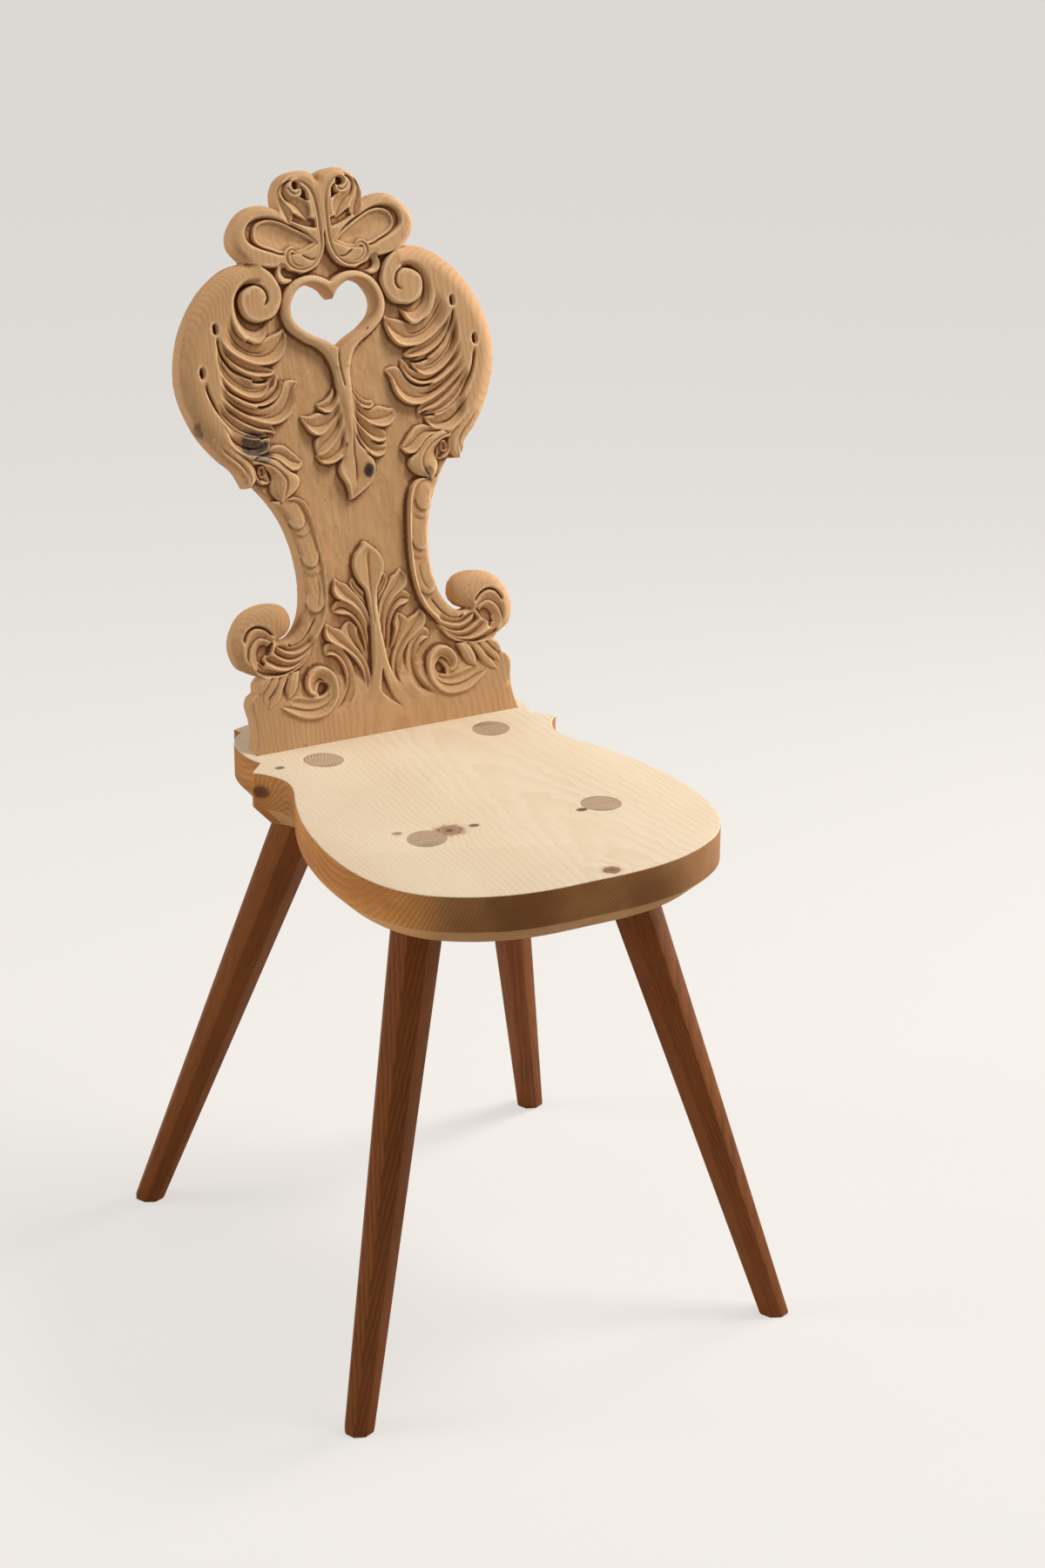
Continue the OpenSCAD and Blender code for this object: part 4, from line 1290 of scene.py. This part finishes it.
dress(board, board_wood)
dress(seat, seat_wood, seat_edge, seat_bevel_painted_light)
# The seat's upright edges have the second wood, and its underside and slope the third, a paler wood
# painted with the light that the floor throws up onto them
for face in seat.data.polygons:
    if face.normal.z < 0.5:
        face.material_index = 1 if face.normal.z > -0.4 else 2

for name, leg in legs.items():
    low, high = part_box("leg_" + name)
    left, rear = "left" in name, "rear" in name
    foot = Vector((low.x if left else high.x, high.y if rear else low.y, 0))
    head = Vector((-LEG_TENON_X if left else LEG_TENON_X,
                   TENON_MIDDLE_Y + (LEG_TENON_Y if rear else -LEG_TENON_Y), SEAT_TOP))
    turn = (head - foot).rotation_difference(Vector((0, 0, 1))).to_euler()
    leg_wood = wood("larch_leg_" + name, (152, 86, 29), (130, 69, 21), (84, 41, 9), turn=tuple(turn),
                    pith=(0.16, 0.10 if left else -0.12, 0), ring=0.0017, wander=0.0006,
                    waver=0.35, contrast=0.55, rough=0.5, fibre=0.75, blotch=0.6, seed=2.0 * left + rear)
    dress(leg, leg_wood, tenon_end)
    # The top of the tenon shows its end grain
    for face in leg.data.polygons:
        if face.normal.z > 0.9 and face.center.z > SEAT_TOP - MM:
            face.material_index = 1
    dress(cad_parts["wedge_" + name], wedge_wood)
for side in ("left", "right"):
    dress(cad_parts["key_" + side], key_wood)

# ---------- floor, light and camera ----------

# To the eye the floor and the sky have colours and a glow of their own, so that the floor stays pale
# far from the lamps and keeps its shadow
FLOOR_SIZE, FLOOR_GLOW, FLOOR_GLOW_TONE = 60, 0.62, (1.0, 0.975, 0.94, 1)
FLOOR_LIT, FLOOR_SEEN = (0.62, 0.59, 0.55, 1), (0.26, 0.245, 0.23, 1)
SKY_LIT, SKY_SEEN, SKY_STRENGTH = (1.0, 0.97, 0.93, 1), (0.70, 0.68, 0.65, 1), 0.28

bpy.ops.object.select_all(action="DESELECT")
bpy.ops.mesh.primitive_plane_add(size=FLOOR_SIZE, location=(0, 0, 0))
floor = bpy.context.active_object
floor.name = "floor"
paint = Shader(bpy.data.materials.new("pale_floor"))
seen = paint.node("ShaderNodeLightPath").outputs["Is Camera Ray"]
paint.fill_in("Principled BSDF", {
    "Roughness": 0.9, "Emission Color": FLOOR_GLOW_TONE,
    "Emission Strength": paint.math("MULTIPLY", seen, FLOOR_GLOW),
    "Base Color": paint.mix(seen, FLOOR_LIT, FLOOR_SEEN)})
floor.data.materials.append(paint.owner)

world = bpy.data.worlds.new("studio")
bpy.context.scene.world = world
sky = Shader(world)
sky.fill_in("Background", {"Color": SKY_LIT, "Strength": SKY_STRENGTH})
seen_sky = sky.node("ShaderNodeBackground", {"Color": SKY_SEEN}).outputs[0]
either = sky.node("ShaderNodeMixShader", {0: sky.node("ShaderNodeLightPath").outputs["Is Camera Ray"],
                                          1: sky.tree.nodes["Background"].outputs[0], 2: seen_sky})
sky.fill_in("World Output", {"Surface": either.outputs[0]})


def softbox(name, place, aim, size, power, colour, spread=180):
    """A square soft lamp at a place, turned to its aim. spread is its beam in degrees."""
    light = bpy.data.lights.new(name, "AREA")
    light.size, light.energy, light.color = size, power, colour
    light.spread = math.radians(spread)
    lamp = link(bpy.data.objects.new(name, light))
    lamp.location = place
    lamp.rotation_euler = (Vector(aim) - Vector(place)).to_track_quat("-Z", "Y").to_euler()


softbox("key_light", (1.1, -0.4, 2.5), (0, 0, 0.55), 0.7, 36, (1.0, 0.97, 0.93))
softbox("side_light", (3.3, 0.3, 0.75), (0, 0, 0.4), 1.4, 17, (1.0, 0.96, 0.90), 70)
softbox("back_light", (-2.1, 0.9, 1.5), (0, 0, 0.5), 1.2, 22, (1.0, 0.98, 0.96))

AZIMUTH, LOOK_DOWN, ROLL = math.radians(28.55), math.radians(22.0), math.radians(0.317)
LENS, EYE = 77.8, (-1.174, -2.289, SEAT_TOP + 1.028)
forward = Vector((math.sin(AZIMUTH) * math.cos(LOOK_DOWN), math.cos(AZIMUTH) * math.cos(LOOK_DOWN),
                  -math.sin(LOOK_DOWN)))
across = Vector((math.cos(AZIMUTH), -math.sin(AZIMUTH), 0))
upward = across.cross(forward)
right = math.cos(ROLL) * across + math.sin(ROLL) * upward
above = math.cos(ROLL) * upward - math.sin(ROLL) * across
lens = bpy.data.cameras.new("camera")
lens.sensor_fit = "VERTICAL"
lens.sensor_height = 36
lens.lens = LENS
camera = link(bpy.data.objects.new("camera", lens))
turned = Matrix((right, above, -forward)).transposed().to_4x4()
camera.matrix_world = Matrix.Translation(EYE) @ turned
bpy.context.scene.camera = camera
bpy.context.scene.view_settings.view_transform = "Standard"

bpy.context.view_layer.update()
